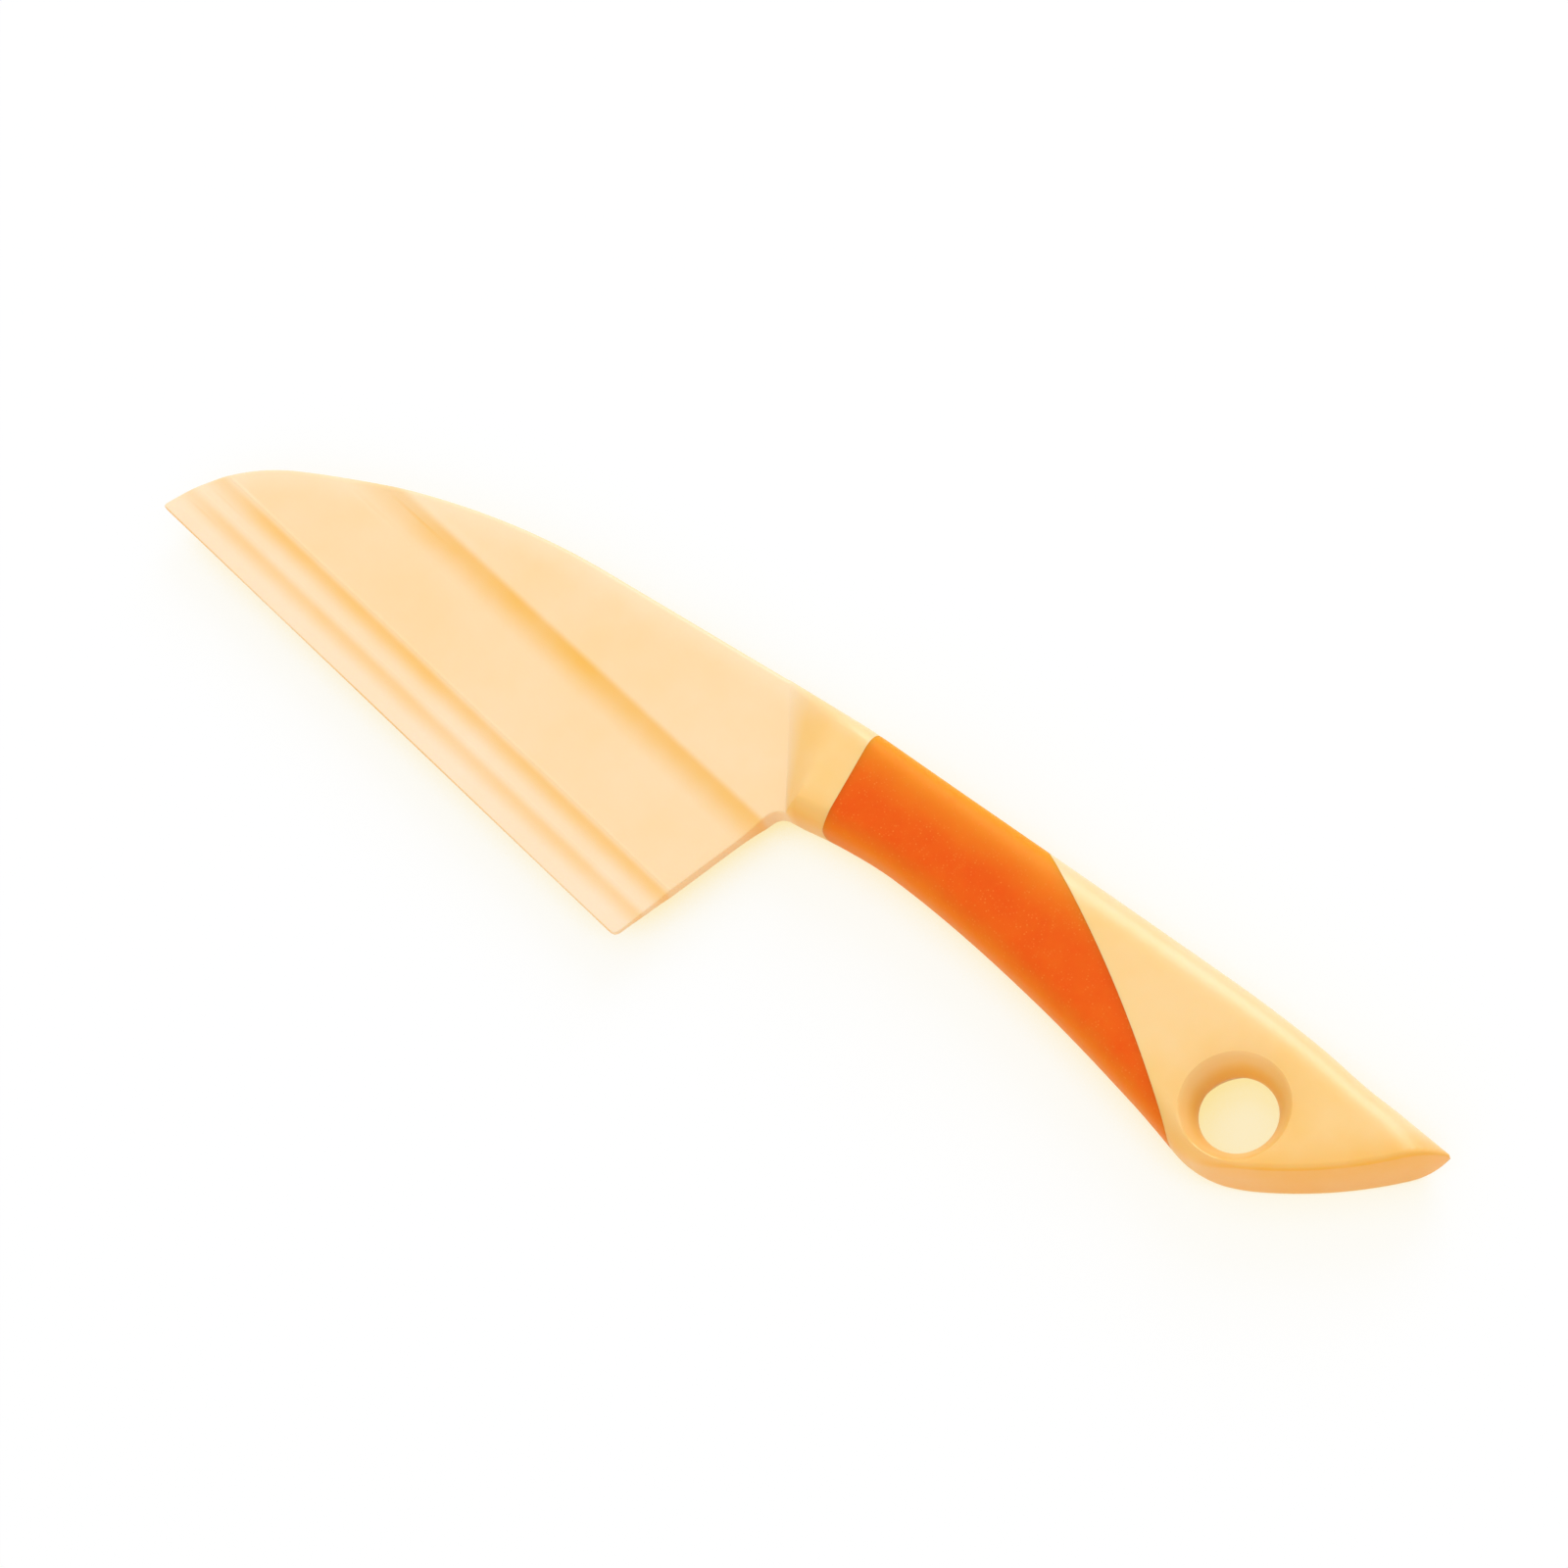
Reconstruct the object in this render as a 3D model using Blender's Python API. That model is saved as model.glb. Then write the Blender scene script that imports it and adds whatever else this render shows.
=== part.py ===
"""Cheese knife: one moulded body from blade to hanging hole, and the soft grip moulded round its handle.

Sizes are in millimetres and angles in degrees. The knife is drawn with its tip at x = 0, its cutting edge
along y = 0 and its middle plane at z = 0. It then moves to lie on a flat of its handle, as on a table.
"""

import math

import bmesh
import bpy
import numpy as np
from mathutils import Vector

MM = 0.001

# Blade outline
EDGE_LENGTH = 118.2
HEEL_LEAN = 8.4
TIP_ANGLE = 77.4
TIP_BEND_RADIUS = 32.4
BELLY_ANGLE = 34.0
BELLY_RADIUS = 147.2
BACK_ANGLE = 10.2
TIP_REACH = 0.8
HEEL_REACH = 1.3
NOTCH_REACH = 1.9

# Handle outline, with places measured along its back from the bolster, which lies just past the heel
BOLSTER_PAST_HEEL = 2.0
BOLSTER_RADIUS = 160.0
HANDLE_ANGLE = 6.5
HANDLE_BACK_LENGTH = 68.0
TAIL_RADIUS = 270.0
TAIL_ANGLE = 1.2
TAIL_LENGTH = 20.3
THROAT_WIDTH = 19.6
WAIST_AT = 22.0
WAIST_WIDTH = 17.9
PALM_AT = 55.0
PALM_WIDTH = 20.9
BUTT_AT = 93.6
BUTT_WIDTH = 27.9
BUTT_REACH = 5.0
END_RADIUS = 84.0
BUTT_TIP_REACH = 1.7

# Thicknesses, each from the middle plane out
EDGE_HALF = 0.55
RIB_HALF = 0.8
CHEEK_HALF = 1.15
BACK_HALF = 2.0
HANDLE_HALF = 6.0
SIDE_WALL = 0.5

# The blade's steps: where each crest stands, and how wide its hollow is
RIB_CREST = 5.3
RIB_HOLLOW = 3.0
CHEEK_CREST = 11.3
CHEEK_HOLLOW = 4.2
BACK_CREST_BELOW_NOTCH = 1.9
BACK_HOLLOW = 7.5

# Rounding of the rims: how far in it reaches, at places along the handle
BLADE_RIM = 0.3
BLADE_BACK_RIM = 1.0
BOLSTER_RIM = 2.4
GRIP_BACK_RIM = 5.0
TAIL_RIM = 3.6
THROAT_RIM = 1.4
PALM_RIM = 3.4

# The butt's flat end: its rounding, and how far from its two corners it narrows to points
END_RIM = 1.0
END_RIM_HEIGHT = 1.0
END_LOW_TAPER = 13.0
END_TIP_TAPER = 9.0

# The ramp from the blade up to the handle
RAMP_BACK_START = -12.4
RAMP_BACK_END = 1.0
RAMP_LOW_LENGTH = 2.2

# Hanging hole, set from the butt's lower corner and from the handle's lower edge
HOLE_PAST_BUTT = 0.2
HOLE_LAND = 3.4
HOLE_NECK_RADIUS = 6.2
HOLE_NECK_HALF_LENGTH = 1.0
HOLE_MOUTH_RADIUS = 8.3
HOLE_MOUTH_ANGLE = 55.0

# Grip
GRIP_FRONT_AT_BACK = 7.0
GRIP_FRONT_AT_PALM = 10.4
GRIP_REAR_AT_BACK = 42.0
GRIP_REAR_AT_PALM = 86.3
GRIP_REAR_BULGE = 1.7
GRIP_THICKNESS = 1.5
SEAT_GAP = 0.3
ANCHOR_RADIUS = 2.2
ANCHOR_COUNT = 3
ANCHOR_FRONT_SETBACK = 8.6
ANCHOR_REAR_REACH = 6.0

# How finely curves are cut into facets
RIM_STEPS = 5
BACK_STEPS = 9
CORNER_STEPS = 5
EDGE_STEPS = 14
RAMP_STEPS = 4
HOLLOW_STEPS = 5
ROUND_SIDES = 40
ANCHOR_SIDES = 20

# How much smaller the butt's tip is along the rounding's inner line
TIP_FAN = 0.15

# The steepest turn of the outline that an inset follows, as a cosine
LEAST_LEAN = 0.5

# Halvings of the search for the notch
SEARCH_STEPS = 40

# Cutters reach this far past what they cut
OVERCUT = 3.0

# Colour, roughness and metallic value
IVORY_PLASTIC = ((0.91, 0.70, 0.42, 1.0), 0.38, 0.0)
ORANGE_RUBBER = ((0.83, 0.15, 0.02, 1.0), 0.62, 0.0)


class Chain:
    """A line of straight and bending stretches, walked by distance from its start."""

    def __init__(self, start, heading, stretches):
        self.start = start
        self.heading = math.radians(heading)
        self.stretches = stretches
        self.length = sum(length for length, _ in stretches)

    def at(self, distance):
        """The point and heading at a distance. Past an end, the line runs straight on."""
        x, y = self.start
        heading = self.heading
        left = distance
        for number, (length, radius) in enumerate(self.stretches):
            last = number == len(self.stretches) - 1
            step = left if left < length else length
            if radius and step > 0:
                turned = heading - step / radius
                x += radius * (math.sin(heading) - math.sin(turned))
                y += radius * (math.cos(turned) - math.cos(heading))
                heading = turned
            else:
                x += step * math.cos(heading)
                y += step * math.sin(heading)
            left -= step
            if left <= 0:
                break
            if last:
                x += left * math.cos(heading)
                y += left * math.sin(heading)
        return (x, y), heading


def bend(radius, start_angle, end_angle):
    """A stretch that turns down from one heading to the next."""
    return (radius * math.radians(start_angle - end_angle), radius)


def bolster_x():
    return EDGE_LENGTH + BOLSTER_PAST_HEEL


def blade_back():
    """The knife's back from the tip to the bolster."""
    curved = [bend(TIP_BEND_RADIUS, TIP_ANGLE, BELLY_ANGLE), bend(BELLY_RADIUS, BELLY_ANGLE, BACK_ANGLE)]
    arcs = Chain((0.0, 0.0), TIP_ANGLE, curved)
    (x, _), heading = arcs.at(arcs.length)
    straight = (bolster_x() - x) / math.cos(heading)
    return Chain((0.0, 0.0), TIP_ANGLE, curved + [(straight, 0.0)])


def handle_back():
    """The knife's back from the bolster to the butt's tip."""
    blade = blade_back()
    start, _ = blade.at(blade.length)
    stretches = [
        bend(BOLSTER_RADIUS, BACK_ANGLE, HANDLE_ANGLE),
        (HANDLE_BACK_LENGTH, 0.0),
        bend(TAIL_RADIUS, HANDLE_ANGLE, TAIL_ANGLE),
        (TAIL_LENGTH, 0.0),
    ]
    return Chain(start, BACK_ANGLE, stretches)


BLADE_BACK = blade_back()
HANDLE_BACK = handle_back()


def handle_point(at, depth):
    """A point of the handle, by its place along the back and its depth square to the back."""
    if at < 0:
        (x, y), heading = BLADE_BACK.at(BLADE_BACK.length + at)
    else:
        (x, y), heading = HANDLE_BACK.at(at)
    return (x + depth * math.sin(heading), y - depth * math.cos(heading))


def through(stations, at):
    """The height of a smooth curve through (place, height) stations. Past the end ones it runs straight."""
    places = [place for place, _ in stations]
    heights = [height for _, height in stations]
    slopes = []
    for i in range(len(stations)):
        low = max(i - 1, 0)
        high = min(i + 1, len(stations) - 1)
        slopes.append((heights[high] - heights[low]) / (places[high] - places[low]))
    if at <= places[0]:
        return heights[0] + slopes[0] * (at - places[0])
    if at >= places[-1]:
        return heights[-1] + slopes[-1] * (at - places[-1])
    i = max(k for k in range(len(places) - 1) if places[k] <= at)
    span = places[i + 1] - places[i]
    t = (at - places[i]) / span
    return (
        heights[i] * (1 + 2 * t) * (1 - t) ** 2
        + slopes[i] * span * t * (1 - t) ** 2
        + heights[i + 1] * t * t * (3 - 2 * t)
        + slopes[i + 1] * span * t * t * (t - 1)
    )


def handle_width(at):
    stations = ((0.0, THROAT_WIDTH), (WAIST_AT, WAIST_WIDTH), (PALM_AT, PALM_WIDTH), (BUTT_AT, BUTT_WIDTH))
    return through(stations, at)


def between(low, high, share):
    share = min(max(share, 0.0), 1.0)
    return low + (high - low) * share


def back_rim(at):
    """How far the rounding of the handle's back reaches in."""
    stations = (RAMP_BACK_START, GRIP_FRONT_AT_BACK, PALM_AT, BUTT_AT)
    return float(np.interp(at, stations, (BLADE_BACK_RIM, BOLSTER_RIM, GRIP_BACK_RIM, TAIL_RIM)))


def palm_rim(at):
    """How far the rounding of the handle's lower edge reaches in."""
    return between(THROAT_RIM, PALM_RIM, at / WAIST_AT)


def heel_x(y):
    return EDGE_LENGTH + y * math.tan(math.radians(HEEL_LEAN))


def notch_place():
    """Where along the handle its lower edge meets the line of the heel."""
    low, high = -WAIST_AT, WAIST_AT
    for _ in range(SEARCH_STEPS):
        middle = (low + high) / 2
        x, y = handle_point(middle, handle_width(middle))
        if x < heel_x(y):
            low = middle
        else:
            high = middle
    return high


NOTCH_AT = notch_place()


def palm_point(at):
    return handle_point(at, handle_width(at))


def back_crest():
    """How far the highest step's crest stands from the cutting edge, so that it runs out below the notch."""
    return palm_point(NOTCH_AT)[1] - BACK_CREST_BELOW_NOTCH


def distance(first, second):
    return math.hypot(second[0] - first[0], second[1] - first[1])


def toward(start, end, reach):
    """The point at a distance from start on the way to end."""
    share = reach / distance(start, end)
    return (start[0] + (end[0] - start[0]) * share, start[1] + (end[1] - start[1]) * share)


def shifted(point, direction, amount):
    return (point[0] + direction[0] * amount, point[1] + direction[1] * amount)


def butt_tip():
    return handle_point(HANDLE_BACK.length, 0.0)


def end_arc():
    """The butt's end as one shallow arc: its centre, its angle at the butt's tip, and its length."""
    first = palm_point(BUTT_AT)
    last = butt_tip()
    half = distance(first, last) / 2
    half_turn = math.asin(half / END_RADIUS)
    chord = math.atan2(last[1] - first[1], last[0] - first[0])
    middle = toward(first, last, half)
    centre = shifted(middle, (-math.sin(chord), math.cos(chord)), END_RADIUS * math.cos(half_turn))
    return centre, chord - math.pi / 2 + half_turn, 2 * half_turn * END_RADIUS


def end_point(reach, depth):
    """A point of the butt's end, by its distance from the butt's tip along the end and its depth square to it."""
    centre, last, _ = end_arc()
    angle = last - reach / END_RADIUS
    return shifted(centre, (math.cos(angle), math.sin(angle)), END_RADIUS - depth)


def rounded_corner(start, corner, end):
    """Points on a smooth bend from start to end, pulled towards the corner. Both ends are left out."""
    points = []
    for i in range(1, CORNER_STEPS):
        t = i / CORNER_STEPS
        a = (1 - t) ** 2
        b = 2 * t * (1 - t)
        c = t * t
        x = a * start[0] + b * corner[0] + c * end[0]
        y = a * start[1] + b * corner[1] + c * end[1]
        points.append((x, y))
    return points


class RimPoint:
    """A point of the outline.

    rim is how far in its rounding reaches, and wall and face are half the thickness below and beside the rounding.
    inner is the rounding's inner end, where it isn't square to the outline.
    """

    def __init__(self, point, rim, wall, face, inner=None):
        self.point = point
        self.rim = rim
        self.wall = wall
        self.face = face
        self.inner = inner


def blade_wall(rim):
    """Half the height of the blade's wall below a rounding that is as high as it is wide."""
    return BACK_HALF - min(rim, BACK_HALF / 2)


def blade_rim(point, rim=BLADE_RIM):
    """A rim point of the blade, whose face is parallel to the middle plane until the steps are cut."""
    return RimPoint(point, rim, blade_wall(rim), BACK_HALF)


def lower_front():
    """Cutting edge, heel and notch, from the blade's tip to the foot of the ramp."""
    tip = (0.0, 0.0)
    heel = (EDGE_LENGTH, 0.0)
    notch = palm_point(NOTCH_AT)
    back_start, _ = BLADE_BACK.at(TIP_REACH)
    edge_start = toward(tip, heel, TIP_REACH)
    edge_end = toward(heel, tip, HEEL_REACH)
    heel_start = toward(heel, notch, HEEL_REACH)
    heel_end = toward(notch, heel, NOTCH_REACH)
    foot = palm_point(NOTCH_AT + NOTCH_REACH)
    points = rounded_corner(back_start, tip, edge_start) + [edge_start, edge_end]
    points += rounded_corner(edge_end, heel, heel_start) + [heel_start, heel_end]
    points += rounded_corner(heel_end, notch, foot)
    return [blade_rim(point) for point in points]


def ramp_palm_place(share):
    return NOTCH_AT + NOTCH_REACH + RAMP_LOW_LENGTH * share


def ramp_back_place(share):
    return between(RAMP_BACK_START, RAMP_BACK_END, share)


def ramp_rim(point, share, rim, blade_side_rim):
    """A rim point of the ramp, which climbs from the blade's face to the handle's."""
    wall = between(blade_wall(blade_side_rim), SIDE_WALL, share)
    return RimPoint(point, rim, wall, between(BACK_HALF, HANDLE_HALF, share))


def ramp_palm():
    points = []
    for step in range(RAMP_STEPS + 1):
        share = step / RAMP_STEPS
        at = ramp_palm_place(share)
        rim = between(BLADE_RIM, palm_rim(at), share)
        points.append(ramp_rim(palm_point(at), share, rim, BLADE_RIM))
    return points


def ramp_back():
    points = []
    for step in reversed(range(RAMP_STEPS + 1)):
        share = step / RAMP_STEPS
        at = ramp_back_place(share)
        points.append(ramp_rim(handle_point(at, 0.0), share, back_rim(at), BLADE_BACK_RIM))
    return points


def places(first, last, steps):
    """Evenly spaced places after the first, up to the last."""
    return [first + (last - first) * i / steps for i in range(1, steps + 1)]


def palm_edge():
    """The handle's lower edge, from the head of the ramp to the butt's rounded corner."""
    points = []
    for at in places(ramp_palm_place(1.0), BUTT_AT - BUTT_REACH, 2 * EDGE_STEPS):
        points.append(RimPoint(palm_point(at), palm_rim(at), SIDE_WALL, HANDLE_HALF))
    return points


def smooth(share):
    share = min(max(share, 0.0), 1.0)
    return share * share * (3 - 2 * share)


def quarter(share):
    """The height of a quarter circle that starts upright and ends level."""
    share = min(max(share, 0.0), 1.0)
    return math.sqrt(share * (2 - share))


def inner_tip():
    """Where the roundings of the back and of the butt's end meet inside its tip, and its reach along each."""
    centre, last, _ = end_arc()
    line = Vector(handle_point(HANDLE_BACK.length, TAIL_RIM))
    inward = Vector(handle_point(HANDLE_BACK.length - 1, TAIL_RIM)) - line
    offset = line - Vector(centre)
    along = offset.dot(inward)
    back_reach = -along - math.sqrt(along * along - offset.length_squared + (END_RADIUS - END_RIM) ** 2)
    corner = line + inward * back_reach
    angle = math.atan2(corner.y - centre[1], corner.x - centre[0])
    return corner, back_reach, (last - angle) * END_RADIUS


def inner_reach(reach, corner_reach):
    """How far from the butt's tip the rounding ends, for a point at a distance from the tip.

    The nearest points end beside the inner corner and the others are spread evenly past it, so that the inner line
    turns without crossing itself.
    """
    share = (reach - BUTT_TIP_REACH) / END_TIP_TAPER
    first = corner_reach + TIP_FAN * BUTT_TIP_REACH
    return between(first, BUTT_TIP_REACH + END_TIP_TAPER, share) if share < 1 else reach


def butt_end():
    """The butt's rounded lower corner, its flat end and its tip. The end narrows to a point at each corner."""
    start = palm_point(BUTT_AT - BUTT_REACH)
    first = end_arc()[2] - BUTT_REACH
    corner = rounded_corner(start, palm_point(BUTT_AT), end_point(first, 0.0))
    spots = [(point, distance(point, butt_tip()), None) for point in corner]
    inner, _, corner_reach = inner_tip()
    for reach in [first] + places(first, BUTT_TIP_REACH, EDGE_STEPS):
        near_tip = reach < BUTT_TIP_REACH + END_TIP_TAPER
        ends_at = end_point(inner_reach(reach, corner_reach), END_RIM) if near_tip else None
        spots.append((end_point(reach, 0.0), reach, ends_at))
    rims = []
    for point, reach, ends_at in spots:
        low = smooth(distance(point, start) / END_LOW_TAPER)
        share = min(low, quarter((reach - BUTT_TIP_REACH) / END_TIP_TAPER))
        wall = between(SIDE_WALL, HANDLE_HALF - END_RIM_HEIGHT, share)
        rims.append(RimPoint(point, between(PALM_RIM, END_RIM, low), wall, HANDLE_HALF, ends_at))
    tail_start = handle_point(HANDLE_BACK.length - BUTT_TIP_REACH, 0.0)
    for point in rounded_corner(rims[-1].point, butt_tip(), tail_start):
        ends_at = inner + (Vector(point) - Vector(butt_tip())) * TIP_FAN
        rims.append(RimPoint(point, END_RIM, SIDE_WALL, HANDLE_HALF, ends_at))
    return rims


def handle_back_edge():
    """The handle's back, from the butt's tip to the head of the ramp."""
    points = []
    _, corner_reach, _ = inner_tip()
    start = HANDLE_BACK.length - BUTT_TIP_REACH
    for at in [start] + places(start, RAMP_BACK_END, 3 * BACK_STEPS)[:-1]:
        rim = back_rim(at)
        ends_at = HANDLE_BACK.length - inner_reach(HANDLE_BACK.length - at, corner_reach)
        points.append(RimPoint(handle_point(at, 0.0), rim, SIDE_WALL, HANDLE_HALF, handle_point(ends_at, rim)))
    return points


def blade_back_edge():
    """The blade's back, from the foot of the ramp to the tip."""
    points = []
    straight_end = BLADE_BACK.length - BLADE_BACK.stretches[-1][0]
    stops = places(BLADE_BACK.length + RAMP_BACK_START, straight_end, 3)
    stops += places(straight_end, TIP_REACH, 2 * BACK_STEPS)
    for at in stops:
        point, _ = BLADE_BACK.at(at)
        rim = between(BLADE_RIM, BLADE_BACK_RIM, at / TIP_BEND_RADIUS)
        points.append(blade_rim(point, rim))
    return points


def vertex(mesh, x, y, z):
    return mesh.verts.new((x * MM, y * MM, z * MM))


def inner_line(rims):
    """The line where the rounding ends and the flat face begins."""
    line = []
    for i, rim in enumerate(rims):
        if rim.inner is not None:
            line.append(Vector(rim.inner))
            continue
        before = Vector(rims[i - 1].point)
        here = Vector(rim.point)
        after = Vector(rims[(i + 1) % len(rims)].point)
        first = (here - before).normalized()
        middle = (first + (after - here).normalized()).normalized()
        reach = rim.rim / max(middle.dot(first), LEAST_LEAN)
        line.append(here + Vector((-middle.y, middle.x)) * reach)
    return line


def side_rings(mesh, rims, side):
    """Rings of vertices from the side wall to the rim's inner line, on one side of the middle plane."""
    line = inner_line(rims)
    rings = []
    for step in range(RIM_STEPS + 1):
        angle = math.pi / 2 * step / RIM_STEPS
        ring = []
        for rim, inner in zip(rims, line):
            place = Vector(rim.point).lerp(inner, 1 - math.cos(angle))
            height = between(rim.wall, rim.face, math.sin(angle))
            ring.append(vertex(mesh, place.x, place.y, side * height))
        rings.append(ring)
    return rings


def bridge(mesh, first, second, side):
    """Quads between two closed rings of vertices."""
    for i in range(len(first)):
        k = (i + 1) % len(first)
        corners = [first[i], first[k], second[k], second[i]]
        mesh.faces.new(corners if side > 0 else corners[::-1])


def cap(mesh, corners, side):
    mesh.faces.new(corners if side > 0 else corners[::-1])


def close_side(mesh, ring, counts, side):
    """The blade's face, the ramp and the handle's flat, inside one rim."""
    front, ramp, handle = counts
    palm = list(range(front, front + ramp))
    back = [front + ramp + handle + ramp - 1 - i for i in range(ramp)]
    for i in range(ramp - 1):
        corners = [ring[palm[i]], ring[palm[i + 1]], ring[back[i + 1]], ring[back[i]]]
        cap(mesh, corners, side)
    flat = [ring[i] for i in range(palm[-1], back[-1] + 1)]
    blade = ring[back[0]:] + ring[: palm[0] + 1]
    cap(mesh, flat, side)
    cap(mesh, blade, side)


def new_object(name, mesh, helper=False):
    """An object made from a bmesh. A helper cuts or joins, and isn't a piece of the knife."""
    bmesh.ops.recalc_face_normals(mesh, faces=mesh.faces)
    data = bpy.data.meshes.new(name)
    mesh.to_mesh(data)
    mesh.free()
    made = bpy.data.objects.new(name, data)
    bpy.context.scene.collection.objects.link(made)
    if helper:
        made.hide_render = True
        made.display_type = "WIRE"
    return made


def knife_envelope(name):
    """The whole knife as one solid, before its steps, hole and grip seat are cut."""
    front = lower_front()
    palm = ramp_palm()
    handle = palm_edge() + butt_end() + handle_back_edge()
    back = ramp_back()
    rims = front + palm + handle + back + blade_back_edge()
    mesh = bmesh.new()
    counts = (len(front), len(palm), len(handle))
    upper = side_rings(mesh, rims, 1)
    lower = side_rings(mesh, rims, -1)
    bridge(mesh, lower[0], upper[0], 1)
    for rings, side in ((upper, 1), (lower, -1)):
        for outer, inner in zip(rings, rings[1:]):
            bridge(mesh, outer, inner, side)
        close_side(mesh, rings[-1], counts, side)
    return new_object(name, mesh)


def prism(name, outline, low, high):
    """A helper that stands on a flat outline."""
    mesh = bmesh.new()
    bottom = [vertex(mesh, x, y, low) for x, y in outline]
    top = [vertex(mesh, x, y, high) for x, y in outline]
    bridge(mesh, bottom, top, 1)
    cap(mesh, top, 1)
    cap(mesh, bottom, -1)
    return new_object(name, mesh, helper=True)


def hollow(crest, width, foot, top):
    """Points of one concave step, from its foot to just below its crest, as (distance, height) pairs."""
    points = []
    for i in range(HOLLOW_STEPS):
        share = i / HOLLOW_STEPS
        rise = 1 - math.sqrt(1 - share * share)
        points.append((crest - width * (1 - share), between(foot, top, rise)))
    return points


def step_section():
    """What is cut from one side of the blade, as a section square to the cutting edge."""
    section = [(-OVERCUT, EDGE_HALF)]
    section += hollow(RIB_CREST, RIB_HOLLOW, EDGE_HALF, RIB_HALF) + [(RIB_CREST, RIB_HALF)]
    section += hollow(CHEEK_CREST, CHEEK_HOLLOW, RIB_HALF, CHEEK_HALF) + [(CHEEK_CREST, CHEEK_HALF)]
    section += hollow(back_crest(), BACK_HOLLOW, CHEEK_HALF, BACK_HALF)
    rise = BACK_HALF - section[-1][1]
    run = back_crest() - section[-1][0]
    section.append((back_crest() + run, BACK_HALF + rise))
    section.append((back_crest() + run, BACK_HALF + rise + OVERCUT))
    section.append((-OVERCUT, BACK_HALF + rise + OVERCUT))
    return section


def step_cutter(side):
    """A bar along the cutting edge whose underside is the blade's stepped face."""
    mesh = bmesh.new()
    section = step_section()
    last = heel_x(back_crest()) + OVERCUT
    near = [vertex(mesh, -OVERCUT, y, side * z) for y, z in section]
    far = [vertex(mesh, last, y, side * z) for y, z in section]
    bridge(mesh, near, far, 1)
    cap(mesh, far, 1)
    cap(mesh, near, -1)
    return new_object(f"step_cutter_{'upper' if side > 0 else 'lower'}", mesh, helper=True)


def hole_profile():
    """The hole's upper half, from its neck out past the face, with no point level with the face."""
    profile = []
    full = math.radians(HOLE_MOUTH_ANGLE)
    for i in range(HOLLOW_STEPS + 1):
        angle = full * i / HOLLOW_STEPS
        flare = (1 - math.cos(angle)) / (1 - math.cos(full))
        climb = math.sin(angle) / math.sin(full)
        radius = HOLE_NECK_RADIUS + (HOLE_MOUTH_RADIUS - HOLE_NECK_RADIUS) * flare
        profile.append((radius, HOLE_NECK_HALF_LENGTH + (HANDLE_HALF - HOLE_NECK_HALF_LENGTH) * climb))
    (inner, low), (outer, high) = profile[-2:]
    slope = (outer - inner) / (high - low)
    profile[-1] = (outer + slope * OVERCUT, high + OVERCUT)
    return profile


def turned(name, profile, centre, sides):
    """A helper turned about an upright line, the same above and below the middle plane."""
    mesh = bmesh.new()
    mirrored = [(radius, -z) for radius, z in reversed(profile)]
    rings = []
    for radius, z in mirrored + profile:
        ring = []
        for i in range(sides):
            angle = 2 * math.pi * i / sides
            x = centre[0] + radius * math.cos(angle)
            y = centre[1] + radius * math.sin(angle)
            ring.append(vertex(mesh, x, y, z))
        rings.append(ring)
    for lower, upper in zip(rings, rings[1:]):
        bridge(mesh, lower, upper, 1)
    cap(mesh, rings[-1], 1)
    cap(mesh, rings[0], -1)
    return new_object(name, mesh, helper=True)


def hole_centre():
    at = BUTT_AT + HOLE_PAST_BUTT
    return handle_point(at, handle_width(at) - HOLE_LAND - HOLE_MOUTH_RADIUS)


def hole_cutter():
    centre = hole_centre()
    return turned("hole_cutter", hole_profile(), centre, ROUND_SIDES)


def beyond(start, end, reach):
    """A point past the end of a line."""
    return toward(start, end, distance(start, end) + reach)


def grip_region(name, grow):
    """The stretch of the handle that the grip covers, seen on its side, grown at both ends."""
    reach = 2 * OVERCUT
    front_back = handle_point(GRIP_FRONT_AT_BACK, 0.0)
    front_palm = palm_point(GRIP_FRONT_AT_PALM)
    rear_back = handle_point(GRIP_REAR_AT_BACK, 0.0)
    rear_palm = palm_point(GRIP_REAR_AT_PALM)
    length = distance(front_back, front_palm)
    away = ((front_palm[1] - front_back[1]) / length, (front_back[0] - front_palm[0]) / length)
    half = distance(rear_back, rear_palm) / 2
    radius = (half * half + GRIP_REAR_BULGE * GRIP_REAR_BULGE) / (2 * GRIP_REAR_BULGE)
    chord = math.atan2(rear_palm[1] - rear_back[1], rear_palm[0] - rear_back[0])
    middle = ((rear_back[0] + rear_palm[0]) / 2, (rear_back[1] + rear_palm[1]) / 2)
    centre = shifted(middle, (math.sin(chord), -math.cos(chord)), radius - GRIP_REAR_BULGE)
    spread = (half + reach) / radius
    rear = []
    for i in range(EDGE_STEPS + 1):
        angle = chord + math.pi / 2 + spread * (1 - 2 * i / EDGE_STEPS)
        rear.append(shifted(centre, (math.cos(angle), math.sin(angle)), radius + grow))
    outline = [shifted(beyond(front_palm, front_back, reach), away, grow)]
    outline.append(shifted(beyond(front_back, front_palm, reach), away, grow))
    outline += rear[::-1]
    return prism(name, outline, -HANDLE_HALF - OVERCUT, HANDLE_HALF + OVERCUT)


def rim_arc(edge, rim, face, sign):
    """One rounded quarter of the handle's section, from its side wall up to its face, as (depth, height)."""
    points = []
    for step in range(RIM_STEPS + 1):
        angle = math.pi / 2 * step / RIM_STEPS
        depth = edge + sign * rim * (1 - math.cos(angle))
        points.append((depth, between(SIDE_WALL, face, math.sin(angle))))
    return points


def inner_section(at, skin):
    """The handle's section at a place, drawn in by a skin's thickness: a closed loop of (depth, height)."""
    face = HANDLE_HALF - skin
    palm = rim_arc(handle_width(at) - skin, palm_rim(at), face, -1)
    back = rim_arc(skin, back_rim(at), face, 1)
    upper = palm + back[::-1]
    return upper + [(depth, -z) for depth, z in reversed(upper)]


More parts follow.
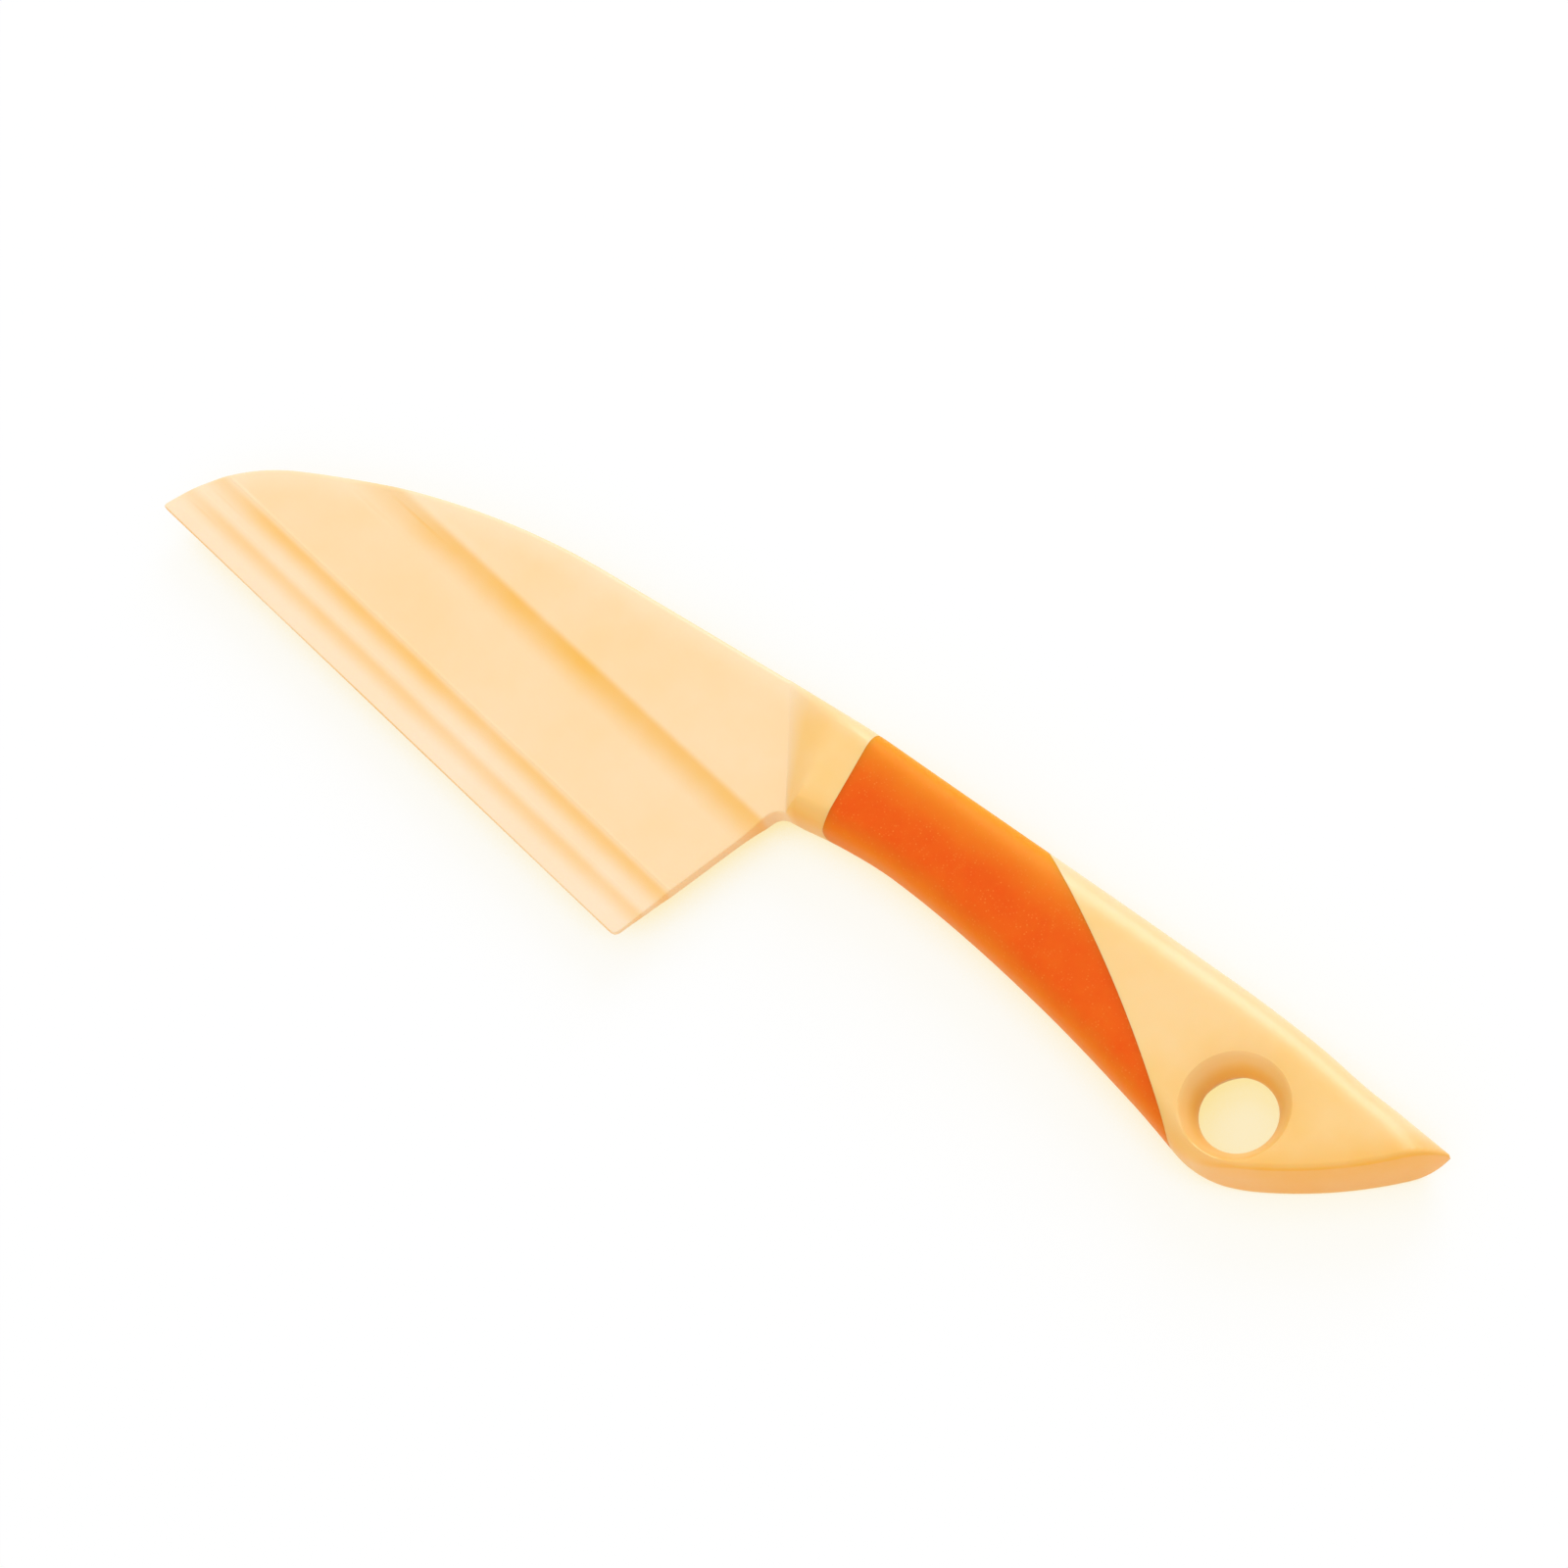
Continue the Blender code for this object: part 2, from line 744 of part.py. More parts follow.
def handle_core(name, skin):
    """A helper of the handle's own form, drawn in by a skin's thickness and longer than the grip."""
    mesh = bmesh.new()
    first = GRIP_FRONT_AT_BACK - OVERCUT
    last = GRIP_REAR_AT_PALM + OVERCUT
    rings = []
    for at in [first] + places(first, last, 2 * EDGE_STEPS):
        ring = []
        for depth, z in inner_section(at, skin):
            x, y = handle_point(at, depth)
            ring.append(vertex(mesh, x, y, z))
        rings.append(ring)
    for near, far in zip(rings, rings[1:]):
        bridge(mesh, near, far, 1)
    cap(mesh, rings[-1], 1)
    cap(mesh, rings[0], -1)
    return new_object(name, mesh, helper=True)


def anchor_centre(number):
    first = GRIP_FRONT_AT_PALM + ANCHOR_FRONT_SETBACK
    last = GRIP_REAR_AT_BACK + ANCHOR_REAR_REACH
    at = between(first, last, number / max(ANCHOR_COUNT - 1, 1))
    return handle_point(at, handle_width(at) / 2)


def anchor(name, number, radius):
    """One round bridge through the core, which joins the grip's two sides and ends inside their skins."""
    return turned(name, [(radius, HANDLE_HALF - GRIP_THICKNESS / 2)], anchor_centre(number), ANCHOR_SIDES)


def boolean(target, operation, tool):
    modifier = target.modifiers.new(f"{operation.lower()}_{tool.name}", "BOOLEAN")
    modifier.operation = operation
    modifier.solver = "EXACT"
    modifier.object = tool


def material(name, finish):
    colour, roughness, metallic = finish
    made = bpy.data.materials.new(name)
    made.use_nodes = True
    shader = made.node_tree.nodes["Principled BSDF"]
    shader.inputs["Base Color"].default_value = colour
    shader.inputs["Roughness"].default_value = roughness
    shader.inputs["Metallic"].default_value = metallic
    return made


def knife_body():
    """Blade, bolster, handle core and butt: one rigid moulding."""
    body = knife_envelope("knife_body")
    for side in (1, -1):
        boolean(body, "DIFFERENCE", step_cutter(side))
    boolean(body, "DIFFERENCE", hole_cutter())
    seat = grip_region("grip_seat_cutter", SEAT_GAP)
    boolean(seat, "DIFFERENCE", handle_core("handle_core", GRIP_THICKNESS + SEAT_GAP))
    boolean(body, "DIFFERENCE", seat)
    for number in range(ANCHOR_COUNT):
        name = f"anchor_hole_{number + 1}"
        boolean(body, "DIFFERENCE", anchor(name, number, ANCHOR_RADIUS + SEAT_GAP))
    body.data.materials.append(material("ivory_plastic", IVORY_PLASTIC))
    return body


def soft_grip():
    """The soft sleeve round the handle, with the bridges that hold it to the core."""
    grip = knife_envelope("soft_grip")
    boolean(grip, "INTERSECT", grip_region("grip_reach", 0.0))
    boolean(grip, "DIFFERENCE", handle_core("grip_bore", GRIP_THICKNESS))
    for number in range(ANCHOR_COUNT):
        boolean(grip, "UNION", anchor(f"anchor_{number + 1}", number, ANCHOR_RADIUS))
    grip.data.materials.append(material("orange_rubber", ORANGE_RUBBER))
    return grip


def bounds(pieces):
    """The least and greatest world coordinates of the finished pieces."""
    bpy.context.view_layer.update()
    graph = bpy.context.evaluated_depsgraph_get()
    corners = []
    for piece in pieces:
        evaluated = piece.evaluated_get(graph)
        matrix = evaluated.matrix_world
        corners += [matrix @ corner.co for corner in evaluated.to_mesh().vertices]
        evaluated.to_mesh_clear()
    low = Vector([min(corner[i] for corner in corners) for i in range(3)])
    high = Vector([max(corner[i] for corner in corners) for i in range(3)])
    return low, high


def lay_down(pieces):
    """Moves the knife to lie centred over the origin, with the lower flat of its handle at z = 0."""
    rest = bpy.data.objects.new("rest_pose", None)
    bpy.context.scene.collection.objects.link(rest)
    for thing in bpy.data.objects:
        if thing is not rest:
            thing.parent = rest
    low, high = bounds(pieces)
    rest.location = (-(low.x + high.x) / 2, -(low.y + high.y) / 2, -low.z)


def main():
    for thing in list(bpy.data.objects):
        bpy.data.objects.remove(thing)
    lay_down([knife_body(), soft_grip()])


main()
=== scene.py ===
"""Looks of the cheese knife: a cream moulding with a fluted blade, and the soft orange grip round its handle.

The knife is drawn in millimetres with its tip at x = 0, its cutting edge along y = 0 and its middle plane at
z = 0, as its CAD is, and each finished mesh is then put in metres where the CAD lies.
"""

import logging
import math
from dataclasses import dataclass, field
from enum import Enum
from typing import Callable, Dict, Iterable, List, Optional, Sequence, Tuple

import bmesh
import bpy
import numpy as np
from mathutils import Matrix, Vector
from mathutils.geometry import delaunay_2d_cdt


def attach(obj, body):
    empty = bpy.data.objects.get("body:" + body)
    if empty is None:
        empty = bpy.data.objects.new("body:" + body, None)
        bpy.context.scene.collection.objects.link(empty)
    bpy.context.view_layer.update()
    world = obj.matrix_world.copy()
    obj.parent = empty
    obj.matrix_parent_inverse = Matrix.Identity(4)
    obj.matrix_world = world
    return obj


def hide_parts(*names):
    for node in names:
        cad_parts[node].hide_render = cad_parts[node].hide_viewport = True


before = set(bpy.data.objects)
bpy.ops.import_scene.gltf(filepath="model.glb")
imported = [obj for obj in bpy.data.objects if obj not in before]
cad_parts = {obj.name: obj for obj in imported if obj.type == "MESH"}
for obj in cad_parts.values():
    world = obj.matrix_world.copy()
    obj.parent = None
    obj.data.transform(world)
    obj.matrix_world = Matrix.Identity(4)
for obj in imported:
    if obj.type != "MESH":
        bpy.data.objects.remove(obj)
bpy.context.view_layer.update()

logging.basicConfig(level=logging.INFO, format="%(message)s")
LOG = logging.getLogger("cheese_knife")

MM = 0.001
Point = Tuple[float, float]
Station = Tuple[float, float]
Face = Tuple[int, ...]
Socket = bpy.types.NodeSocket
NodeTree = bpy.types.NodeTree
Material = bpy.types.Material
Mesh = bpy.types.Mesh
Object = bpy.types.Object

# Where the drawing's origin lies in the row frame, in millimetres
DRAWING_ORIGIN = Vector((-121.374, -31.487, 6.0))

# The knife has the same form on both sides of its middle plane
SIDES = 2

# How full a rounding is: a quarter of a circle where it is narrow, and fuller where it is wide
ROUND = 2.0
FULL = 2.4
NARROW_RIM = 1.0
WIDE_RIM = 4.0


class Slot(Enum):
    """The record's material slots."""

    BODY = "ivory_plastic"
    GRIP = "orange_rubber"


class Fact(Enum):
    """What each place of a mesh knows of itself, by the name of its attribute."""

    HALF_THICKNESS = "half_thickness"
    # How much painted shade the flutes get, where their faces climb steeply
    FLUTE_SLOPE = "flute_slope"
    FROM_BACK = "from_back"
    FROM_PALM = "from_palm"
    WARMTH = "warmth"


def held(share: float) -> float:
    """A share held within 0 and 1."""
    return min(max(share, 0.0), 1.0)


def between(low: float, high: float, share: float) -> float:
    """A value part of the way from low to high, with its share held within 0 and 1."""
    return low + (high - low) * held(share)


def smooth(share: float) -> float:
    """Eases a share in and out."""
    share = held(share)
    return share * share * (3 - 2 * share)


def quarter(share: float, power: float = ROUND) -> float:
    """How far a rounding has risen, as a share. It starts upright, and more power makes it fuller."""
    return (1 - (1 - held(share)) ** power) ** (1 / power)


def along_stations(stations: Sequence[Station], at: float) -> float:
    """The height of straight lines through stations.

    Args:
        stations: Pairs of place and height, in order.
        at: The place that is asked for.

    Returns:
        The height there. Past an end it stays at the end's height.
    """
    for (low_at, low), (high_at, high) in zip(stations, stations[1:]):
        if at <= high_at:
            return between(low, high, (at - low_at) / (high_at - low_at))
    return stations[-1][1]


def curve_through(stations: Sequence[Station], at: float) -> float:
    """The height of a smooth curve through stations.

    Args:
        stations: Pairs of place and height, in order.
        at: The place that is asked for.

    Returns:
        The height there. Past the end stations the curve runs straight.
    """
    stops, heights = zip(*stations)
    last = len(stations) - 1
    slopes = []
    for i in range(last + 1):
        low, high = max(i - 1, 0), min(i + 1, last)
        slopes.append((heights[high] - heights[low]) / (stops[high] - stops[low]))
    if at <= stops[0]:
        return heights[0] + slopes[0] * (at - stops[0])
    if at >= stops[-1]:
        return heights[-1] + slopes[-1] * (at - stops[-1])
    i = max(k for k in range(last) if stops[k] <= at)
    span = stops[i + 1] - stops[i]
    t = (at - stops[i]) / span
    rise = heights[i] * (1 + 2 * t) * (1 - t) ** 2 + heights[i + 1] * t * t * (3 - 2 * t)
    return rise + slopes[i] * span * t * (1 - t) ** 2 + slopes[i + 1] * span * t * t * (t - 1)


def distance(first: Point, second: Point) -> float:
    """The distance between two points of the drawing."""
    return math.hypot(second[0] - first[0], second[1] - first[1])


def toward(start: Point, end: Point, reach: float) -> Point:
    """The point at a distance from the start, on the way to the end."""
    share = reach / distance(start, end)
    return (start[0] + (end[0] - start[0]) * share, start[1] + (end[1] - start[1]) * share)


def shifted(point: Point, direction: Point, amount: float) -> Point:
    """A point moved by an amount along a direction."""
    return (point[0] + direction[0] * amount, point[1] + direction[1] * amount)


def places(first: float, last: float, spacing: float) -> List[float]:
    """Even places after the first, up to the last, no further apart than the spacing."""
    steps = max(1, math.ceil(abs(last - first) / spacing))
    return [first + (last - first) * i / steps for i in range(1, steps + 1)]


def angle_to(start: Point, end: Point) -> float:
    """The heading from one point to another, in radians."""
    return math.atan2(end[1] - start[1], end[0] - start[0])


def seen_from(start: Point, end: Point, point: Point) -> Tuple[float, float]:
    """Where a point lies beside a line.

    Args:
        start: Where the line starts.
        end: Where it leads.
        point: The point.

    Returns:
        Its distance along the line, and its distance to the left of it.
    """
    length = distance(start, end)
    along = ((end[0] - start[0]) / length, (end[1] - start[1]) / length)
    x, y = point[0] - start[0], point[1] - start[1]
    return x * along[0] + y * along[1], y * along[0] - x * along[1]


def narrowed(low: float, high: float, steps: int, is_before: Callable[[float], bool]) -> Tuple[float, float]:
    """Halves a span again and again, round the place where a test stops being true.

    Args:
        low: Where the span starts.
        high: Where it ends.
        steps: How often it is halved.
        is_before: The test.

    Returns:
        The narrow span that is left.
    """
    for _ in range(steps):
        middle = (low + high) / 2
        if is_before(middle):
            low = middle
        else:
            high = middle
    return low, high


@dataclass(frozen=True)
class Chain:
    """A line of straight and bending stretches, walked by distance from its start."""

    start: Point
    heading: float
    stretches: Tuple[Tuple[float, float], ...]

    @property
    def length(self) -> float:
        """The whole length of the line."""
        return sum(length for length, _ in self.stretches)

    def at(self, reach: float) -> Tuple[Point, float]:
        """The point and heading at a distance from the start.

        Args:
            reach: The distance. Past the end the line runs straight on.

        Returns:
            The point, and the heading there in radians.
        """
        x, y = self.start
        heading = math.radians(self.heading)
        left = reach
        for length, radius in (*self.stretches, (math.inf, 0.0)):
            step = min(left, length)
            if radius and step > 0:
                turned = heading - step / radius
                x += radius * (math.sin(heading) - math.sin(turned))
                y += radius * (math.cos(turned) - math.cos(heading))
                heading = turned
            else:
                x += step * math.cos(heading)
                y += step * math.sin(heading)
            left -= step
            if left <= 0:
                break
        return (x, y), heading


def bend(radius: float, start_angle: float, end_angle: float) -> Tuple[float, float]:
    """A stretch that turns down from one heading to the next, in degrees."""
    return (radius * math.radians(start_angle - end_angle), radius)


@dataclass(frozen=True)
class RimPoint:
    """A point of the outline, with the rounding that starts there.

    rim is how far in the rounding reaches, wall is half the height of the upright wall below it, and inner is
    where the rounding ends, if that isn't square to the outline.
    """

    point: Point
    rim: float
    wall: float
    inner: Optional[Point] = None

    @property
    def power(self) -> float:
        """How full the rounding is."""
        return between(ROUND, FULL, (self.rim - NARROW_RIM) / (WIDE_RIM - NARROW_RIM))


@dataclass(frozen=True)
class KnifeOutline:
    """The knife's outline, seen on its side."""

    edge_length: float = 118.2
    heel_lean: float = 8.4
    tip_angle: float = 77.4
    tip_bend_radius: float = 32.4
    belly_angle: float = 34.0
    belly_radius: float = 147.2
    back_angle: float = 10.2
    tip_reach: float = 0.8
    heel_reach: float = 1.3
    notch_reach: float = 1.9
    bolster_past_heel: float = 2.0
    bolster_radius: float = 160.0
    handle_angle: float = 6.5
    handle_back_length: float = 68.0
    tail_radius: float = 270.0
    tail_angle: float = 1.2
    tail_length: float = 19.5
    throat_width: float = 19.4
    waist_at: float = 22.0
    waist_width: float = 17.5
    palm_at: float = 55.0
    palm_width: float = 20.5
    butt_at: float = 93.6
    butt_width: float = 27.7
    butt_reach: float = 5.0
    end_radius: float = 72.0
    butt_tip_reach: float = 0.7
    back_half: float = 2.0
    handle_half: float = 6.0
    side_wall: float = 0.5
    blade_rim: float = 0.3
    blade_back_rim: float = 1.0
    bolster_rim: float = 4.5
    grip_back_rim: float = 7.0
    tail_rim: float = 6.0
    throat_rim: float = 2.2
    palm_rim: float = 4.4
    end_rim: float = 1.0
    end_rim_height: float = 1.0
    end_low_taper: float = 13.0
    end_tip_taper: float = 9.5
    tip_blend: float = 16.0
    tip_fan: float = 0.15
    tip_power: float = 1.4
    ramp_back_start: float = -12.4
    ramp_back_end: float = 1.0
    ramp_low_length: float = 2.2
    grip_front_at_back: float = 7.0
    back_insets: Tuple[Station, ...] = (
        (-8.0, 0.0), (4.0, 0.25), (60.0, 0.2), (96.0, 0.4), (106.0, 0.7), (112.0, 0.5), (118.0, 0.3),
    )
    spacing: float = 1.1
    corner_steps: int = 12
    ramp_steps: int = 10
    least_lean: float = 0.5
    search_steps: int = 40
    blade_back: Chain = field(init=False)
    handle_back: Chain = field(init=False)
    notch_at: float = field(init=False)

    def __post_init__(self) -> None:
        """Works out the two stretches of the back and where the notch lies."""
        curved = (
            bend(self.tip_bend_radius, self.tip_angle, self.belly_angle),
            bend(self.belly_radius, self.belly_angle, self.back_angle),
        )
        arcs = Chain((0.0, 0.0), self.tip_angle, curved)
        (x, _), heading = arcs.at(arcs.length)
        straight = (self.edge_length + self.bolster_past_heel - x) / math.cos(heading)
        blade = Chain((0.0, 0.0), self.tip_angle, curved + ((straight, 0.0),))
        start, _ = blade.at(blade.length)
        stretches = (
            bend(self.bolster_radius, self.back_angle, self.handle_angle),
            (self.handle_back_length, 0.0),
            bend(self.tail_radius, self.handle_angle, self.tail_angle),
            (self.tail_length, 0.0),
        )
        object.__setattr__(self, "blade_back", blade)
        object.__setattr__(self, "handle_back", Chain(start, self.back_angle, stretches))
        object.__setattr__(self, "notch_at", self.notch_place())

    def handle_point(self, at: float, depth: float) -> Point:
        """A point of the handle.

        Args:
            at: Its place along the back from the bolster.
            depth: Its depth square to the back.

        Returns:
            The point.
        """
        if at < 0:
            (x, y), heading = self.blade_back.at(self.blade_back.length + at)
        else:
            (x, y), heading = self.handle_back.at(at)
        return (x + depth * math.sin(heading), y - depth * math.cos(heading))

    def back_inset(self, at: float) -> float:
        """How far the back lies inside its plain line of arcs and straights."""
        return curve_through(self.back_insets, at)

    def back_point(self, at: float) -> Point:
        """The point of the handle's back at a place along it."""
        return self.handle_point(at, self.back_inset(at))

    def handle_width(self, at: float) -> float:
        """The handle's width at a place along its back."""
        stations = (
            (0.0, self.throat_width),
            (self.waist_at, self.waist_width),
            (self.palm_at, self.palm_width),
            (self.butt_at, self.butt_width),
        )
        return curve_through(stations, at)

    def palm_point(self, at: float) -> Point:
        """The point of the handle's lower edge at a place along its back."""
        return self.handle_point(at, self.handle_width(at))

    def back_rim_at(self, at: float) -> float:
        """How far the rounding of the handle's back reaches in."""
        stations = (
            (self.ramp_back_start, self.blade_back_rim),
            (self.grip_front_at_back, self.bolster_rim),
            (self.palm_at, self.grip_back_rim),
            (self.butt_at, self.tail_rim),
        )
        return along_stations(stations, at)

    def palm_rim_at(self, at: float) -> float:
        """How far the rounding of the handle's lower edge reaches in."""
        return between(self.throat_rim, self.palm_rim, at / self.waist_at)

    def heel_x(self, y: float) -> float:
        """Where the line of the heel stands at a height above the cutting edge."""
        return self.edge_length + y * math.tan(math.radians(self.heel_lean))

    def notch_place(self) -> float:
        """Where along the handle its lower edge meets the line of the heel.

        Returns:
            The place there.
        """

        def is_ahead(at: float) -> bool:
            """Whether the lower edge still lies ahead of the line."""
            x, y = self.palm_point(at)
            return x < self.heel_x(y)

        return narrowed(-self.waist_at, self.waist_at, self.search_steps, is_ahead)[1]

    def blade_wall(self, rim: float) -> float:
        """Half the height of the blade's wall below a rounding that is as high as it is wide."""
        return self.back_half - min(rim, self.back_half / 2)

    def corner(self, start: Point, corner: Point, end: Point) -> List[Point]:
        """Points on a smooth bend.

        Args:
            start: Where the bend starts.
            corner: The corner that it is drawn to.
            end: Where it ends.

        Returns:
            The points between the two ends.
        """
        points = []
        for i in range(1, self.corner_steps):
            t = i / self.corner_steps
            a, b, c = (1 - t) ** 2, 2 * t * (1 - t), t * t
            x, y = (a * first + b * bent + c * last for first, bent, last in zip(start, corner, end))
            points.append((x, y))
        return points

    def straight(self, start: Point, end: Point) -> List[Point]:
        """Points along a straight edge, both ends among them."""
        length = distance(start, end)
        return [start] + [toward(start, end, reach) for reach in places(0.0, length, 2 * self.spacing)]

    def lower_front(self) -> List[RimPoint]:
        """Cutting edge, heel and notch.

        Returns:
            The outline from the blade's tip to the foot of the ramp.
        """
        tip = (0.0, 0.0)
        heel = (self.edge_length, 0.0)
        notch = self.palm_point(self.notch_at)
        back_start, _ = self.blade_back.at(self.tip_reach)
        edge_start = toward(tip, heel, self.tip_reach)
        edge_end = toward(heel, tip, self.heel_reach)
        heel_start = toward(heel, notch, self.heel_reach)
        heel_end = toward(notch, heel, self.notch_reach)
        foot = self.palm_point(self.notch_at + self.notch_reach)
        points = self.corner(back_start, tip, edge_start) + self.straight(edge_start, edge_end)
        points += self.corner(edge_end, heel, heel_start) + self.straight(heel_start, heel_end)
        points += self.corner(heel_end, notch, foot)
        return [RimPoint(point, self.blade_rim, self.blade_wall(self.blade_rim)) for point in points]

    def ramp_palm_place(self, share: float) -> float:
        """The place along the handle of a point of the ramp's lower side."""
        return self.notch_at + self.notch_reach + self.ramp_low_length * share

    def ramp_back_place(self, share: float) -> float:
        """The place along the handle of a point of the ramp's upper side."""
        return self.ramp_back_start + (self.ramp_back_end - self.ramp_back_start) * share

    def ramp_line(self, share: float) -> Tuple[Point, Point]:
        """The ends of the level line across the ramp, at a share of its climb."""
        palm_at = self.ramp_palm_place(share)
        return self.palm_point(palm_at), self.handle_point(self.ramp_back_place(share), 0.0)

    def ramp_palm(self, share: float) -> RimPoint:
        """The outline on the ramp's lower side, at a share of its climb."""
        at = self.ramp_palm_place(share)
        wall = between(self.blade_wall(self.blade_rim), self.side_wall, share)
        return RimPoint(self.palm_point(at), between(self.blade_rim, self.palm_rim_at(at), share), wall)

    def ramp_back(self, share: float) -> RimPoint:
        """The outline on the ramp's upper side, at a share of its climb."""
        at = self.ramp_back_place(share)
        wall = between(self.blade_wall(self.blade_back_rim), self.side_wall, share)
        return RimPoint(self.back_point(at), self.back_rim_at(at), wall)

    def palm_edge(self) -> List[RimPoint]:
        """The handle's lower edge, from the head of the ramp to the butt's rounded corner."""
        stops = places(self.ramp_palm_place(1.0), self.butt_at - self.butt_reach, self.spacing)
        return [RimPoint(self.palm_point(at), self.palm_rim_at(at), self.side_wall) for at in stops]

    def butt_tip(self) -> Point:
        """The corner where the handle's back and the butt's end meet."""
        return self.back_point(self.handle_back.length)

    def end_arc(self) -> Tuple[Point, float, float]:
        """The butt's end as one shallow arc.

        Returns:
            Its centre, its angle at the butt's tip, and its length.
        """
        first = self.palm_point(self.butt_at)
        last = self.butt_tip()
        half = distance(first, last) / 2
        half_turn = math.asin(half / self.end_radius)
        chord = angle_to(first, last)
        middle = toward(first, last, half)
        centre = shifted(middle, (-math.sin(chord), math.cos(chord)), self.end_radius * math.cos(half_turn))
        return centre, chord - math.pi / 2 + half_turn, 2 * half_turn * self.end_radius

    def end_point(self, reach: float, depth: float) -> Point:
        """The point at a reach from the butt's tip along its end, and at a depth square to the end."""
        centre, last, _ = self.end_arc()
        angle = last - reach / self.end_radius
        return shifted(centre, (math.cos(angle), math.sin(angle)), self.end_radius - depth)

    def inner_tip(self) -> Tuple[Vector, float, float]:
        """Where the roundings of the back and of the butt's end meet inside its tip.

        Returns:
            The point, its distance from the tip along the back, and that along the end.
        """
        centre, last, _ = self.end_arc()
        line = Vector(self.handle_point(self.handle_back.length, self.tail_rim))
        inward = Vector(self.handle_point(self.handle_back.length - 1, self.tail_rim)) - line
        offset = line - Vector(centre)
        along = offset.dot(inward)
        inner_radius = self.end_radius - self.end_rim
        back_reach = -along - math.sqrt(along * along - offset.length_squared + inner_radius ** 2)
        corner = line + inward * back_reach
        angle = angle_to(centre, (corner.x, corner.y))
        return corner, back_reach, (last - angle) * self.end_radius

    def inner_reach(self, reach: float, corner_reach: float) -> float:
        """How far from the butt's tip the rounding ends that starts at a reach from it.

        It is more than the reach close to the tip, so that the rounding's inner line doesn't cross itself.

        Args:
            reach: The distance from the tip of the rounding's outer end.
            corner_reach: The distance from the tip of the inner corner.

        Returns:
            The distance from the tip of its inner end.
        """
        share = (reach - self.butt_tip_reach) / self.tip_blend
        first = corner_reach + self.tip_fan * self.butt_tip_reach
        return between(first, self.butt_tip_reach + self.tip_blend, share) if share < 1 else reach

    def butt_end(self) -> List[RimPoint]:
        """The butt's rounded lower corner, its end, whose rounding narrows to both sides, and its tip.

        Returns:
            The outline there.
        """
        start = self.palm_point(self.butt_at - self.butt_reach)
        first = self.end_arc()[2] - self.butt_reach
        low_corner = self.corner(start, self.palm_point(self.butt_at), self.end_point(first, 0.0))
        spots: List[Tuple[Point, float, Optional[Point]]] = []
        spots += [(point, distance(point, self.butt_tip()), None) for point in low_corner]
        inner, _, corner_reach = self.inner_tip()
        for reach in [first] + places(first, self.butt_tip_reach, self.spacing / 2):
            ends_at = None
            if reach < self.butt_tip_reach + self.tip_blend:
                ends_at = self.end_point(self.inner_reach(reach, corner_reach), self.end_rim)
            spots.append((self.end_point(reach, 0.0), reach, ends_at))
        rims = []
        for point, reach, ends_at in spots:
            low = smooth(distance(point, start) / self.end_low_taper)
            share = min(low, quarter((reach - self.butt_tip_reach) / self.end_tip_taper))
            wall = between(self.side_wall, self.handle_half - self.end_rim_height, share)
            rims.append(RimPoint(point, between(self.palm_rim, self.end_rim, low), wall, ends_at))
        tail_start = self.back_point(self.handle_back.length - self.butt_tip_reach)
        for point in self.corner(rims[-1].point, self.butt_tip(), tail_start):
            fan = inner + (Vector(point) - Vector(self.butt_tip())) * self.tip_fan
            rims.append(RimPoint(point, self.end_rim, self.side_wall, (fan.x, fan.y)))
        return rims

    def handle_back_edge(self) -> List[RimPoint]:
        """The handle's back.

        Returns:
            The outline from the butt's tip to the head of the ramp.
        """
        _, corner_reach, _ = self.inner_tip()
        whole = self.handle_back.length
        start = whole - self.butt_tip_reach
        near = start - self.tip_blend
        stops = [start] + places(start, near, self.spacing / 2)
        rims = []
        for at in stops + places(near, self.ramp_back_end, self.spacing)[:-1]:
            rim = self.back_rim_at(at)
            inner = self.handle_point(whole - self.inner_reach(whole - at, corner_reach), rim)
            rims.append(RimPoint(self.back_point(at), rim, self.side_wall, inner))
        return rims

    def tip_height(self, point: Point, face: float) -> float:
        """The height close to the butt's tip, where the back's wide rounding runs out at the end.

        Args:
            point: The place.
            face: Half the thickness of the flat there.

        Returns:
            The height over the middle plane.
        """
        tip = self.handle_point(self.handle_back.length, 0.0)
        _, heading = self.handle_back.at(self.handle_back.length)
        x, y = point[0] - tip[0], point[1] - tip[1]
        at = self.handle_back.length + x * math.cos(heading) + y * math.sin(heading)
        inset = self.back_inset(at)
        rim = RimPoint(point, self.back_rim_at(at), self.side_wall)
        share = (x * math.sin(heading) - y * math.cos(heading) - inset) / (rim.rim - inset)
        power = between(self.tip_power, rim.power, (self.handle_back.length - at) / self.end_tip_taper)
        height = between(self.side_wall, face, quarter(share, power))
        centre, _, _ = self.end_arc()
        drop = min(self.end_rim_height, height - self.side_wall)
        return height - drop * (1 - quarter((self.end_radius - distance(point, centre)) / self.end_rim))

    def blade_back_at(self, at: float) -> RimPoint:
        """The outline on the blade's back, at a distance from the tip."""
        point, _ = self.blade_back.at(at)
        rim = between(self.blade_rim, self.blade_back_rim, at / self.tip_bend_radius)
        return RimPoint(point, rim, self.blade_wall(rim))

    @property
    def fine(self) -> float:
        """How close the points lie that distances are measured from."""
        return self.spacing / 4

    def back_line(self) -> List[Point]:
        """Close points along the whole back, from the blade's tip to the butt's."""
        blade = [self.blade_back.at(at)[0] for at in places(0.0, self.blade_back.length, self.fine)]
        return blade + [self.back_point(at) for at in places(0.0, self.handle_back.length, self.fine)]

    def palm_line(self) -> List[Point]:
        """Close points along the handle's lower edge, from the notch to the butt."""
        return [self.palm_point(at) for at in places(self.notch_at, self.butt_at, self.fine)]

